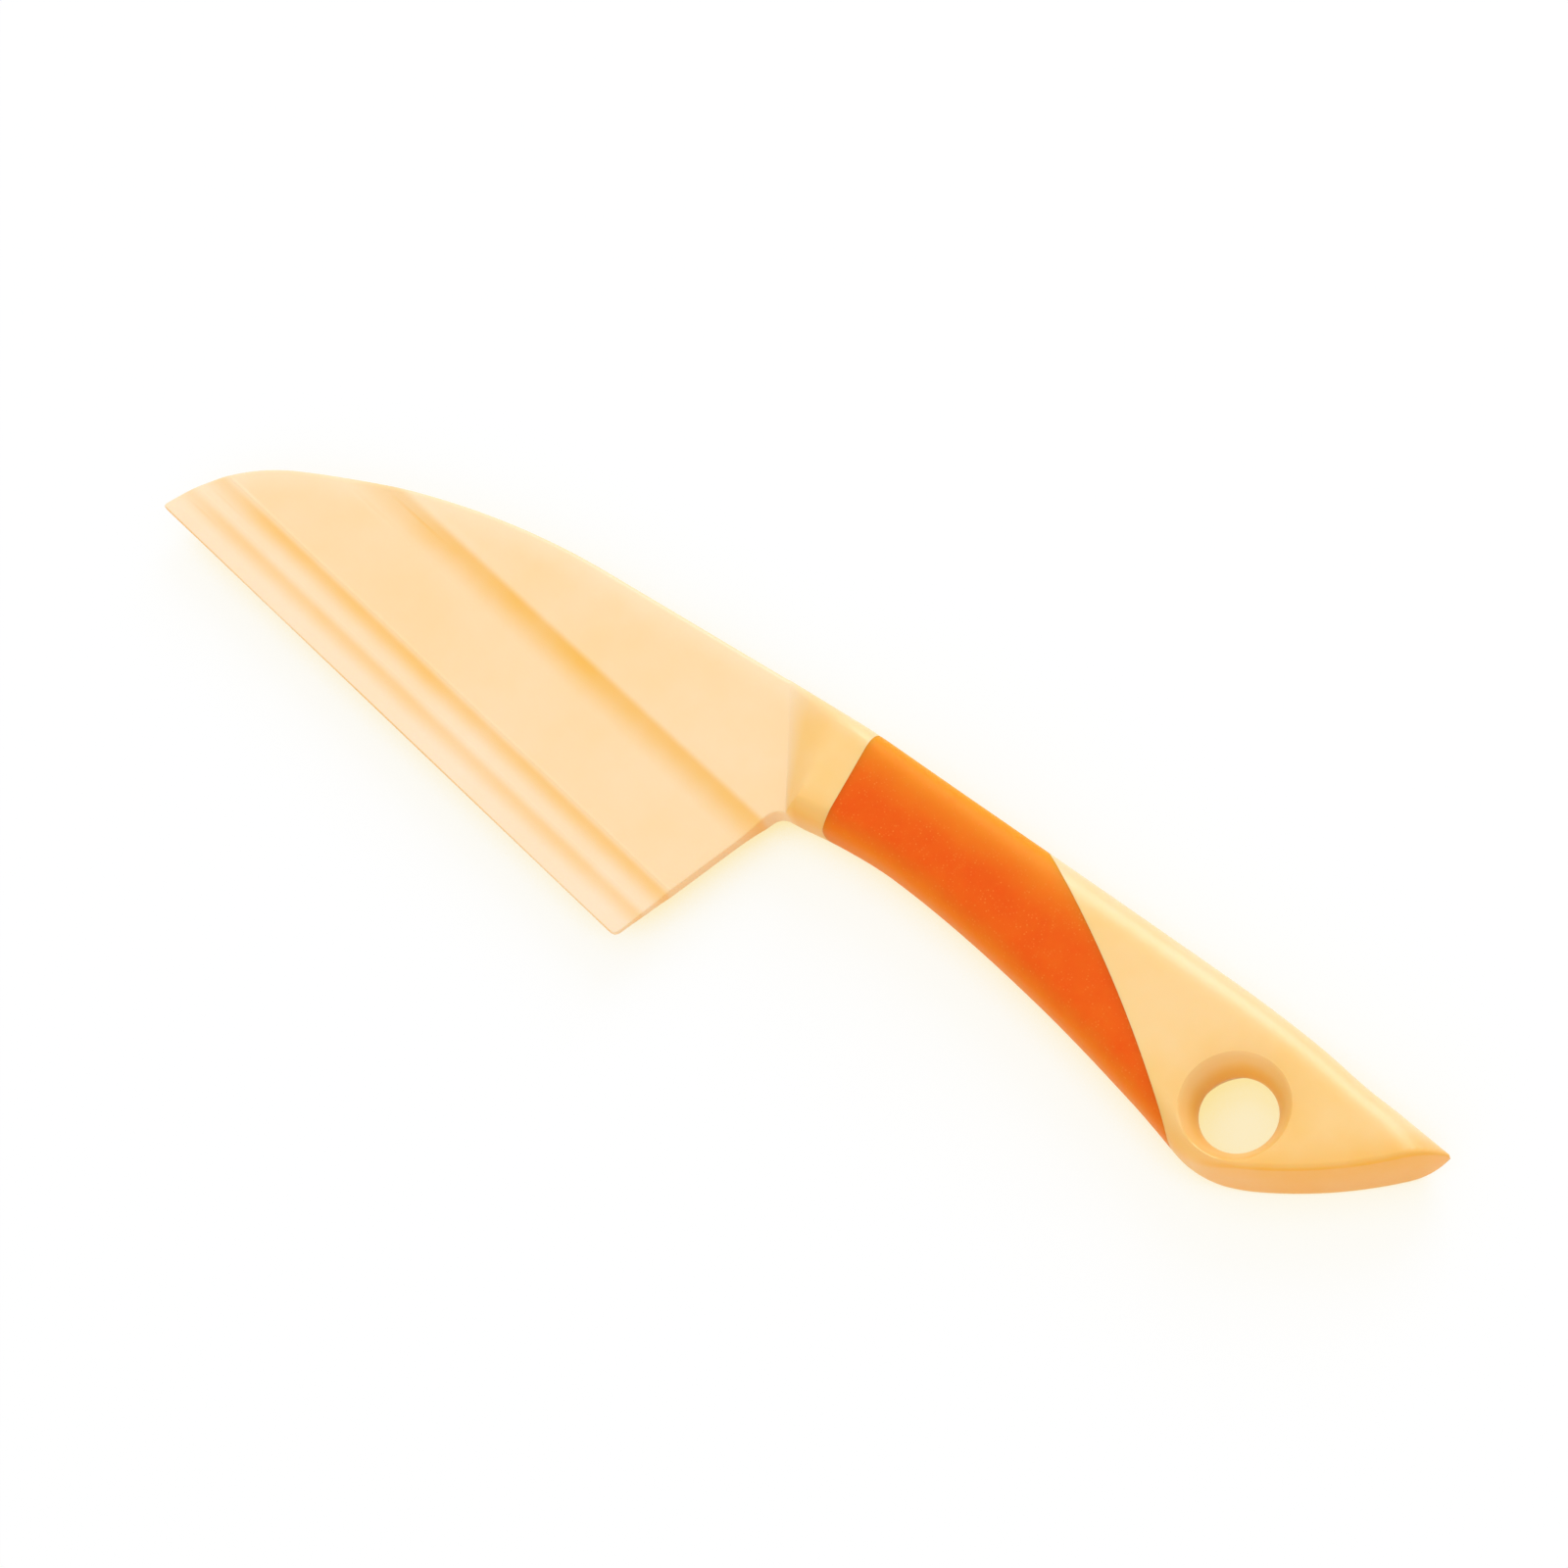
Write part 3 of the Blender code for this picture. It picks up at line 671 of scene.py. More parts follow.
    def end_line(self) -> List[Point]:
        """Close points along the butt's end."""
        return [self.end_point(reach, 0.0) for reach in places(0.0, self.end_arc()[2], self.fine)]

    def edge_line(self) -> List[Point]:
        """Close points along the cutting edge."""
        return [(along, 0.0) for along in places(0.0, self.edge_length, self.fine)]

    def rims(self) -> List[RimPoint]:
        """The whole outline.

        Returns:
            Its points in order, starting at the blade's tip and going along the cutting edge.
        """
        climb = [step / self.ramp_steps for step in range(self.ramp_steps + 1)]
        rims = self.lower_front() + [self.ramp_palm(share) for share in climb]
        rims += self.palm_edge() + self.butt_end() + self.handle_back_edge()
        rims += [self.ramp_back(share) for share in reversed(climb)]
        stops = places(self.blade_back.length + self.ramp_back_start, self.tip_reach, self.spacing)
        return rims + [self.blade_back_at(at) for at in stops]

    def inner_line(self, rims: Sequence[RimPoint]) -> List[Vector]:
        """The line where the rounding ends and the flat face begins.

        Args:
            rims: The whole outline.

        Returns:
            One point for each point of the outline.
        """
        line = []
        for i, rim in enumerate(rims):
            if rim.inner is not None:
                line.append(Vector(rim.inner))
                continue
            here = Vector(rim.point)
            first = (here - Vector(rims[i - 1].point)).normalized()
            middle = (first + (Vector(rims[(i + 1) % len(rims)].point) - here).normalized()).normalized()
            reach = rim.rim / max(middle.dot(first), self.least_lean)
            line.append(here + Vector((-middle.y, middle.x)) * reach)
        return line


def linear(code: str) -> Tuple[float, float, float, float]:
    """Turns an sRGB hex value into the linear colour that a shader takes.

    Args:
        code: Six hex digits, with or without a leading hash.

    Returns:
        Red, green, blue and an alpha of 1.
    """
    digits = code.lstrip("#")
    parts = []
    for i in (0, 2, 4):
        value = int(digits[i:i + 2], 16) / 255
        parts.append(value / 12.92 if value <= 0.04045 else ((value + 0.055) / 1.055) ** 2.4)
    return (parts[0], parts[1], parts[2], 1.0)


def add_node(
    tree: NodeTree,
    kind: str,
    inputs: Optional[Dict[object, object]] = None,
    **settings: object,
) -> bpy.types.Node:
    """Adds a node with its settings, values and links.

    Args:
        tree: The tree that it goes into.
        kind: The node's type.
        inputs: For each input, by name or number, a value or the output socket that feeds it.
        settings: Properties of the node.

    Returns:
        The new node.
    """
    node = tree.nodes.new(kind)
    for name, value in settings.items():
        setattr(node, name, value)
    for key, value in (inputs or {}).items():
        if isinstance(value, bpy.types.NodeSocket):
            tree.links.new(value, node.inputs[key])
        else:
            node.inputs[key].default_value = value
    return node


def empty_tree(holder: bpy.types.ID) -> NodeTree:
    """Gives a new material or world an empty node tree."""
    holder.use_nodes = True
    holder.node_tree.nodes.clear()
    return holder.node_tree


def placed(name: str, data: bpy.types.ID) -> Object:
    """Puts a mesh, lamp or camera in the scene as an object."""
    thing = bpy.data.objects.new(name, data)
    bpy.context.scene.collection.objects.link(thing)
    return thing


@dataclass(frozen=True)
class Line:
    """A line of the drawing along which the sheet is cut."""

    points: Tuple[Point, ...]
    closed: bool = False


@dataclass(frozen=True)
class Flute:
    """One concave step of the blade's face, which rises from its foot to its crest.

    steepest is the share of its width at which it climbs most, bead is the height of the thin ridge on its
    crest, and tint is how much painted shade it gets where it climbs.
    """

    crest: float
    width: float
    rise: float
    steepest: float
    bead: float
    tint: float
    shares: Tuple[float, ...] = (0.0, 0.12, 0.24, 0.36, 0.47, 0.57, 0.66, 0.74, 0.81, 0.87, 0.92, 0.96)
    past_crest: Tuple[float, ...] = (-0.08, 0.0, 0.08, 0.2, 0.4)

    def cuts(self) -> List[float]:
        """How far from the cutting edge the sheet is cut for this flute."""
        foot = self.crest - self.width
        climbing = [foot + self.width * share for share in self.shares]
        return climbing + [self.crest + step for step in self.past_crest]


@dataclass(frozen=True)
class HangingHole:
    """The round hole through the butt, with a narrow neck and a flared mouth on each side."""

    outline: KnifeOutline
    past_butt: float = 0.3
    land: float = 2.42
    neck_radius: float = 6.2
    neck_half_length: float = 0.1
    neck_lift: float = 1.2
    mouth_radius: float = 8.8
    plain_share: float = 0.62
    lip: float = 0.3
    wall_steps: int = 14
    lip_steps: Tuple[float, ...] = (0.12, 0.26, 0.45)
    sides: int = 160

    @property
    def centre(self) -> Point:
        """The hole's centre in the drawing."""
        at = self.outline.butt_at + self.past_butt
        return self.outline.handle_point(at, self.outline.handle_width(at) - self.land - self.mouth_radius)

    def circle(self, radius: float) -> Line:
        """A circle round the hole's centre.

        Args:
            radius: Its radius.

        Returns:
            A closed line.
        """
        centre = self.centre
        turns = [math.tau * i / self.sides for i in range(self.sides)]
        points = [shifted(centre, (math.cos(turn), math.sin(turn)), radius) for turn in turns]
        return Line(tuple(points), closed=True)

    def circles(self) -> List[Line]:
        """The circles at which the sheet is cut.

        Returns:
            One for each step through the wall, closest where it bends most, and some round its lip.
        """
        spread = self.mouth_radius - self.neck_radius
        turns = [math.pi / 2 * step / self.wall_steps for step in range(self.wall_steps + 1)]
        inner = [self.neck_radius + spread * (1 - math.cos(turn)) for turn in turns]
        lip = [self.mouth_radius + step for step in self.lip_steps]
        return [self.circle(radius) for radius in inner + lip]

    def flare(self, point: Point) -> float:
        """How far out a place lies between the neck, 0, and the mouth's border, 1."""
        return (distance(point, self.centre) - self.neck_radius) / (self.mouth_radius - self.neck_radius)

    def walls(self, flare: float) -> Tuple[float, float]:
        """The heights of both walls over the middle plane.

        The upper one is round from the neck up and meets the face at a soft edge. The lower is a plain cone.

        Args:
            flare: How far out it is between the neck and the mouth's border.

        Returns:
            The upper wall's height and the lower wall's.
        """
        half = self.outline.handle_half
        climb = between(quarter(flare), flare, self.plain_share)
        upper = between(self.neck_lift + self.neck_half_length, half, climb)
        return upper, between(self.neck_lift - self.neck_half_length, -half, flare)

    def wall_height(self, flare: float) -> float:
        """Half the distance between both walls, which grows past the mouth so that it clears the face."""
        upper, lower = self.walls(flare)
        past = max(flare - 1, 0.0)
        return (upper - lower) / 2 + self.outline.handle_half * past * past

    def lifted(self, point: Point) -> float:
        """How far the middle between both walls lies over the middle plane."""
        return sum(self.walls(self.flare(point))) / 2

    def sunk(self, height: float, point: Point) -> float:
        """The face's height once the hole's mouth is let in, with a small rounding at its lip."""
        wall = self.wall_height(self.flare(point))
        blend = max(self.lip - abs(wall - height), 0.0) / self.lip
        return min(wall, height) - blend * blend * self.lip / 4


@dataclass(frozen=True)
class GripSeam:
    """The lines on the handle where the soft grip starts and ends."""

    outline: KnifeOutline
    front_at_back: float = 6.8
    front_at_palm: float = 10.2
    front_hook: float = 1.9
    front_hook_reach: float = 3.3
    rear_hook: float = 1.0
    rear_hook_reach: float = 8.0
    hook_power: float = 3.0
    rear_at_back: float = 41.0
    rear_at_palm: float = 88.9
    rear_bulge: float = 1.6
    reach: float = 6.0
    groove_half: float = 0.2
    groove_depth: float = 0.02
    groove_shares: Tuple[float, ...] = (-1.0, -0.5, 0.0, 0.5, 1.0)
    steps: int = 150

    def front_ends(self) -> Tuple[Point, Point]:
        """The front line's ends, at the handle's back and at its lower edge."""
        return self.outline.handle_point(self.front_at_back, 0.0), self.outline.palm_point(self.front_at_palm)

    def rear_arc(self) -> Tuple[Point, float, float, float]:
        """The rear line as an arc.

        Returns:
            Its centre and radius, the angle of its middle, and the turn from there to each end.
        """
        back = self.outline.handle_point(self.rear_at_back, 0.0)
        palm = self.outline.palm_point(self.rear_at_palm)
        half = distance(back, palm) / 2
        radius = (half * half + self.rear_bulge * self.rear_bulge) / (2 * self.rear_bulge)
        chord = angle_to(back, palm)
        middle = toward(back, palm, half)
        centre = shifted(middle, (math.sin(chord), -math.cos(chord)), radius - self.rear_bulge)
        return centre, radius, chord + math.pi / 2, (half + self.reach) / radius

    def front_turn(self, along: float) -> float:
        """How far the front line turns forward near the palm, at a distance along it from the back."""
        share = (distance(*self.front_ends()) - along) / self.front_hook_reach
        return self.front_hook * (1 - quarter(share, self.hook_power))

    def rear_turn(self, angle: float) -> float:
        """How far the rear line turns forward near the palm, at an angle round the middle of its arc."""
        centre, radius, _, _ = self.rear_arc()
        off = radius * abs(angle - angle_to(centre, self.outline.palm_point(self.rear_at_palm)))
        return self.rear_hook * (1 - quarter(off / self.rear_hook_reach, self.hook_power))

    def front_side(self, point: Point) -> float:
        """How far a point lies behind the front line, on the grip's side of it."""
        along, left = seen_from(*self.front_ends(), point)
        return left + self.front_turn(along)

    def rear_side(self, point: Point) -> float:
        """How far a point lies ahead of the rear line, on the grip's side of it."""
        centre, radius, _, _ = self.rear_arc()
        return radius - distance(point, centre) - self.rear_turn(angle_to(centre, point))

    def inside(self, point: Point) -> bool:
        """Whether a point of the drawing lies on the grip."""
        return self.front_side(point) > 0 and self.rear_side(point) > 0

    def groove(self, point: Point) -> float:
        """How deep the fine groove of the seam is at a point."""
        off = min(abs(self.front_side(point)), abs(self.rear_side(point)))
        share = max(1 - off / self.groove_half, 0.0)
        return self.groove_depth * share * share

    def lines(self) -> List[Line]:
        """The lines at which the sheet is cut, on the seam and close beside it.

        Returns:
            The front line and the rear line, once for each place across the groove.
        """
        back, palm = self.front_ends()
        length = distance(back, palm)
        normal = ((back[1] - palm[1]) / length, (palm[0] - back[0]) / length)
        centre, radius, middle, spread = self.rear_arc()
        lines = []
        for share in self.groove_shares:
            aside = share * self.groove_half
            front, rear = [], []
            for i in range(self.steps + 1):
                stop = (length + 2 * self.reach) * i / self.steps - self.reach
                front.append(shifted(toward(back, palm, stop), normal, aside - self.front_turn(stop)))
                angle = middle + spread * (1 - 2 * i / self.steps)
                reach = radius - aside - self.rear_turn(angle)
                rear.append(shifted(centre, (math.cos(angle), math.sin(angle)), reach))
            lines += [Line(tuple(front)), Line(tuple(rear))]
        return lines


@dataclass(frozen=True)
class Ramp:
    """The slope that climbs from the blade's face to the handle's."""

    outline: KnifeOutline
    least_share: float = -0.1
    most_share: float = 1.6
    foot_blend: float = 0.03
    head_blend_low: float = 0.05
    head_blend_back: float = 0.45
    foot_shares: Tuple[float, ...] = (-0.03, -0.015, 0.0, 0.015, 0.03)
    share_step: float = 0.045
    past_border: float = 1.0
    cross_steps: int = 16
    search_steps: int = 22

    def side_of(self, share: float, point: Point) -> float:
        """How far a point lies past the level line at a share of the climb, on the handle's side of it."""
        _, left = seen_from(*self.outline.ramp_line(share), point)
        return -left

    def share_at(self, point: Point) -> float:
        """How far up the climb a point of the drawing lies.

        Args:
            point: The point.

        Returns:
            The share of the climb there, held within the least and the most share.
        """
        low, high = self.least_share, self.most_share
        if self.side_of(low, point) <= 0:
            return low
        if self.side_of(high, point) >= 0:
            return high
        return narrowed(low, high, self.search_steps, lambda share: self.side_of(share, point) > 0)[0]

    def height(self, point: Point) -> float:
        """Half the knife's thickness, before the flutes, the rounding and the hole.

        The climb eases in at its foot and eases out at its head, more so towards the back.

        Args:
            point: A point of the drawing.

        Returns:
            Half the thickness there.
        """
        share = self.share_at(point)
        if share <= -self.foot_blend:
            return self.outline.back_half
        if share >= self.most_share:
            return self.outline.handle_half
        palm, back = self.outline.ramp_line(share)
        across = distance(point, palm) / distance(back, palm)
        blend = between(self.head_blend_low, self.head_blend_back, smooth(across))
        climb = share
        if share < self.foot_blend:
            climb = (share + self.foot_blend) ** 2 / (4 * self.foot_blend)
        if share > 1 - blend:
            past = min(share - (1 - blend), 2 * blend)
            climb = 1 - blend + past - past * past / (4 * blend)
        return between(self.outline.back_half, self.outline.handle_half, climb)

    def level_line(self, share: float) -> Line:
        """The level line across the ramp, from past one border to past the other.

        Args:
            share: The share of the climb at which it lies.

        Returns:
            The line.
        """
        palm, back = self.outline.ramp_line(share)
        length = distance(palm, back) + 2 * self.past_border
        start = toward(back, palm, length - self.past_border)
        stops = [length * step / self.cross_steps for step in range(self.cross_steps + 1)]
        return Line(tuple(toward(start, back, stop) for stop in stops))

    def lines(self) -> List[Line]:
        """The lines at which the sheet is cut.

        Returns:
            The level lines, and lines across them.
        """
        shares = list(self.foot_shares) + places(self.foot_shares[-1], self.most_share, self.share_step)
        levels = [self.level_line(share) for share in shares]
        crossing = [Line(tuple(level.points[i] for level in levels)) for i in range(1, self.cross_steps)]
        return levels + crossing


@dataclass
class KnifeSheet:
    """The knife's upper side as a flat net of triangles, cut along every line where its form changes.

    Each place of the net keeps its share of the way in through the rim's rounding, the height of the wall
    below that rounding, and how full it is.
    """

    outline: KnifeOutline
    hole: HangingHole
    seam: GripSeam
    ramp: Ramp
    flutes: Tuple[Flute, ...]
    rim_steps: int = 9
    fill_spacing: float = 4.0
    past_blade: float = 2.0
    weld: float = 1e-4
    most_wall: float = 0.9
    tip_ease: float = 2.0
    spots: List[Point] = field(default_factory=list)
    shares: List[float] = field(default_factory=list)
    walls: List[float] = field(default_factory=list)
    powers: List[float] = field(default_factory=list)
    kept: List[int] = field(default_factory=list)
    faces_half: List[float] = field(default_factory=list)
    triangles: List[Tuple[int, int, int]] = field(default_factory=list)

    def ring_share(self, step: int) -> float:
        """How far in through the rounding a ring lies."""
        return 1 - math.cos(math.pi / 2 * step / self.rim_steps)

    def flute_lines(self) -> List[Line]:
        """The lines along the blade at which the sheet is cut for the flutes."""
        past = self.past_blade
        cuts = [y for flute in self.flutes for y in flute.cuts()]
        return [Line(((-past, y), (self.outline.heel_x(y) + past, y))) for y in cuts]

    def fill(self) -> List[Point]:
        """Loose points over the knife, so that no triangle gets long and thin.

        Returns:
            The points, row by row.
        """
        step = self.fill_spacing
        far_x, far_y = self.outline.butt_tip()
        points = []
        for row in range(1, int(far_y / step) + 1):
            start = step / 2 if row % 2 else step
            points += [(x, row * step) for x in [start] + places(start, far_x, step)]
        return points

    def cut(self) -> None:
        """Triangulates the sheet with all its lines as edges, and keeps what lies on the knife."""
        rims = self.outline.rims()
        inner = self.outline.inner_line(rims)
        points: List[Vector] = []
        edges: List[Tuple[int, int]] = []
        known: Dict[int, Tuple[float, float, float]] = {}
        for step in range(self.rim_steps + 1):
            share = self.ring_share(step)
            first = len(points)
            for rim, end in zip(rims, inner):
                known[len(points)] = (share, rim.wall, rim.power)
                points.append(Vector(rim.point).lerp(end, share))
            edges += [(first + i, first + (i + 1) % len(rims)) for i in range(len(rims))]
        for line in self.hole.circles() + self.seam.lines() + self.ramp.lines() + self.flute_lines():
            first, count = len(points), len(line.points)
            points += [Vector(point) for point in line.points]
            last = count if line.closed else count - 1
            edges += [(first + i, first + (i + 1) % count) for i in range(last)]
        points += [Vector(point) for point in self.fill()]
        found, _, faces, origins, _, _ = delaunay_2d_cdt(points, edges, [], 0, self.weld)
        self.spots = [(place.x, place.y) for place in found]
        rim_facts = [next((known[k] for k in origin if k in known), None) for origin in origins]
        self.keep(faces, [rim.point for rim in rims])
        self.find_shares(rims, inner, rim_facts)

    def keep(self, faces: Sequence[Sequence[int]], border: Sequence[Point]) -> None:
        """Keeps the triangles that lie within the outline and outside the hole's neck.

        Args:
            faces: The triangles, by their corners' numbers.
            border: The outline's points.
        """
        spots = np.array(self.spots)
        corners = np.array(faces)
        middles = spots[corners].mean(axis=1)
        inside = np.zeros(len(middles), bool)
        for (x0, y0), (x1, y1) in zip(border, list(border[1:]) + [border[0]]):
            if y0 == y1:
                continue
            crosses = (middles[:, 1] > min(y0, y1)) & (middles[:, 1] <= max(y0, y1))
            inside ^= crosses & (middles[:, 0] < x0 + (middles[:, 1] - y0) * (x1 - x0) / (y1 - y0))
        from_hole = np.hypot(middles[:, 0] - self.hole.centre[0], middles[:, 1] - self.hole.centre[1])
        inside &= from_hole > self.hole.neck_radius
        kept = corners[inside]
        used = np.unique(kept)
        number = {int(old): new for new, old in enumerate(used)}
        self.kept = [int(old) for old in used]
        self.triangles = [tuple(number[int(k)] for k in corner) for corner in kept]

    def find_shares(
        self,
        rims: Sequence[RimPoint],
        inner: Sequence[Vector],
        rim_facts: Sequence[Optional[Tuple[float, float, float]]],
    ) -> None:
        """Finds the facts of every place, also where lines crossed between the outline's points.

        Args:
            rims: The outline.
            inner: Where the rounding ends, beside each point of the outline.
            rim_facts: The share, wall and power of the places that are points of a ring.
        """
        all_spots = self.spots
        self.spots = [all_spots[k] for k in self.kept]
        self.shares = [1.0] * len(self.spots)
        self.walls = [self.outline.side_wall] * len(self.spots)
        self.powers = [ROUND] * len(self.spots)
        loose = []
        for new, old in enumerate(self.kept):
            fact = rim_facts[old]
            if fact is None:
                loose.append(new)
            else:
                self.shares[new], self.walls[new], self.powers[new] = fact
        where = np.array([self.spots[k] for k in loose])
        for i, rim in enumerate(rims):
            after = rims[(i + 1) % len(rims)]
            quad = (Vector(rim.point), Vector(after.point), inner[(i + 1) % len(rims)], inner[i])
            low = np.min([tuple(corner) for corner in quad], axis=0) - self.weld
            high = np.max([tuple(corner) for corner in quad], axis=0) + self.weld
            for k in np.nonzero(((where >= low) & (where <= high)).all(axis=1))[0]:
                found = self.share_in(Vector(where[k]), quad)
                if found is not None:
                    share, along = found
                    self.shares[loose[k]] = share
                    self.walls[loose[k]] = between(rim.wall, after.wall, along)
                    self.powers[loose[k]] = between(rim.power, after.power, along)

    def share_in(self, place: Vector, quad: Sequence[Vector]) -> Optional[Tuple[float, float]]:
        """Where a place lies in one field of the rounding.

        Args:
            place: The place.
            quad: The field's corners: two on the outline, then two where the rounding ends.

        Returns:
            Its share of the way in and of the way along, or None if it lies elsewhere.
        """

        def aside(along: float) -> float:
            """How far the place lies beside the line across the field."""
            outer = quad[0].lerp(quad[1], along)
            way = quad[3].lerp(quad[2], along) - outer
            return (place - outer).cross(way)

        slack = self.weld * 2
        sides = (aside(0.0), aside(1.0))
        if sides[0] * sides[1] > 0 and min(abs(sides[0]), abs(sides[1])) > slack:
            return None

        def is_before(along: float) -> bool:
            """Whether the line there has the place on the same side as the line at the field's start."""
            return (aside(along) > 0) == (sides[0] > 0)

        low, _ = narrowed(0.0, 1.0, self.outline.search_steps, is_before)
        outer = quad[0].lerp(quad[1], low)
        way = quad[3].lerp(quad[2], low) - outer
        share = (place - outer).dot(way) / way.length_squared
        if not -slack <= share * way.length <= way.length + slack:
            return None
        return (held(share), low)

    def heights(self) -> List[float]:
        """Raises the net, before the flutes are let in.

        Returns:
            The height of each place over the middle plane.
        """
        heights = []
        self.faces_half = [self.ramp.height(spot) for spot in self.spots]
        facts = zip(self.spots, self.shares, self.walls, self.powers, self.faces_half)
        for spot, share, wall, power, face in facts:
            low = min(wall, face * self.most_wall)
            height = low + (face - low) * quarter(share, power)
            from_tip = distance(spot, self.outline.butt_tip())
            if from_tip < self.outline.tip_blend:
                near = smooth((self.outline.tip_blend - from_tip) / self.tip_ease)
                height = between(height, self.outline.tip_height(spot, face), near)
            heights.append(self.hole.sunk(height, spot))
        return heights

    def nearest(self, line: Sequence[Point]) -> List[float]:
        """How far the net lies from a line.

        Args:
            line: Close points along the line.

        Returns:
            The distance of each place of the net from the nearest of them.
        """
        spots = np.array(self.spots)
        least = np.full(len(spots), np.inf)
        for x, y in line:
            least = np.minimum(least, np.hypot(spots[:, 0] - x, spots[:, 1] - y))
        return least.tolist()

    def border_edges(self) -> List[Tuple[int, int]]:
        """The edges that have a triangle on one side only, as that triangle runs along them."""
        sides = [(corners[i], corners[(i + 1) % 3]) for corners in self.triangles for i in range(3)]
        known = set(sides)
        return [(a, b) for a, b in sides if (b, a) not in known]

    def solid(self) -> Tuple[List[Vector], List[Face]]:
        """The closed form: the sheet raised to both sides, with upright walls along its borders.

        Returns:
            The places and the faces of the form, in the drawing's millimetres.
        """
        heights = self.heights()
        count = len(self.spots)
        lifts = [self.hole.lifted(spot) for spot in self.spots]
        upper = [Vector((x, y, z + lift)) for (x, y), z, lift in zip(self.spots, heights, lifts)]
        lower = [Vector((x, y, lift - z)) for (x, y), z, lift in zip(self.spots, heights, lifts)]
        faces: List[Face] = list(self.triangles)
        faces += [(c + count, b + count, a + count) for a, b, c in self.triangles]
        faces += [(b, a, a + count, b + count) for a, b in self.border_edges()]
        return upper + lower, faces


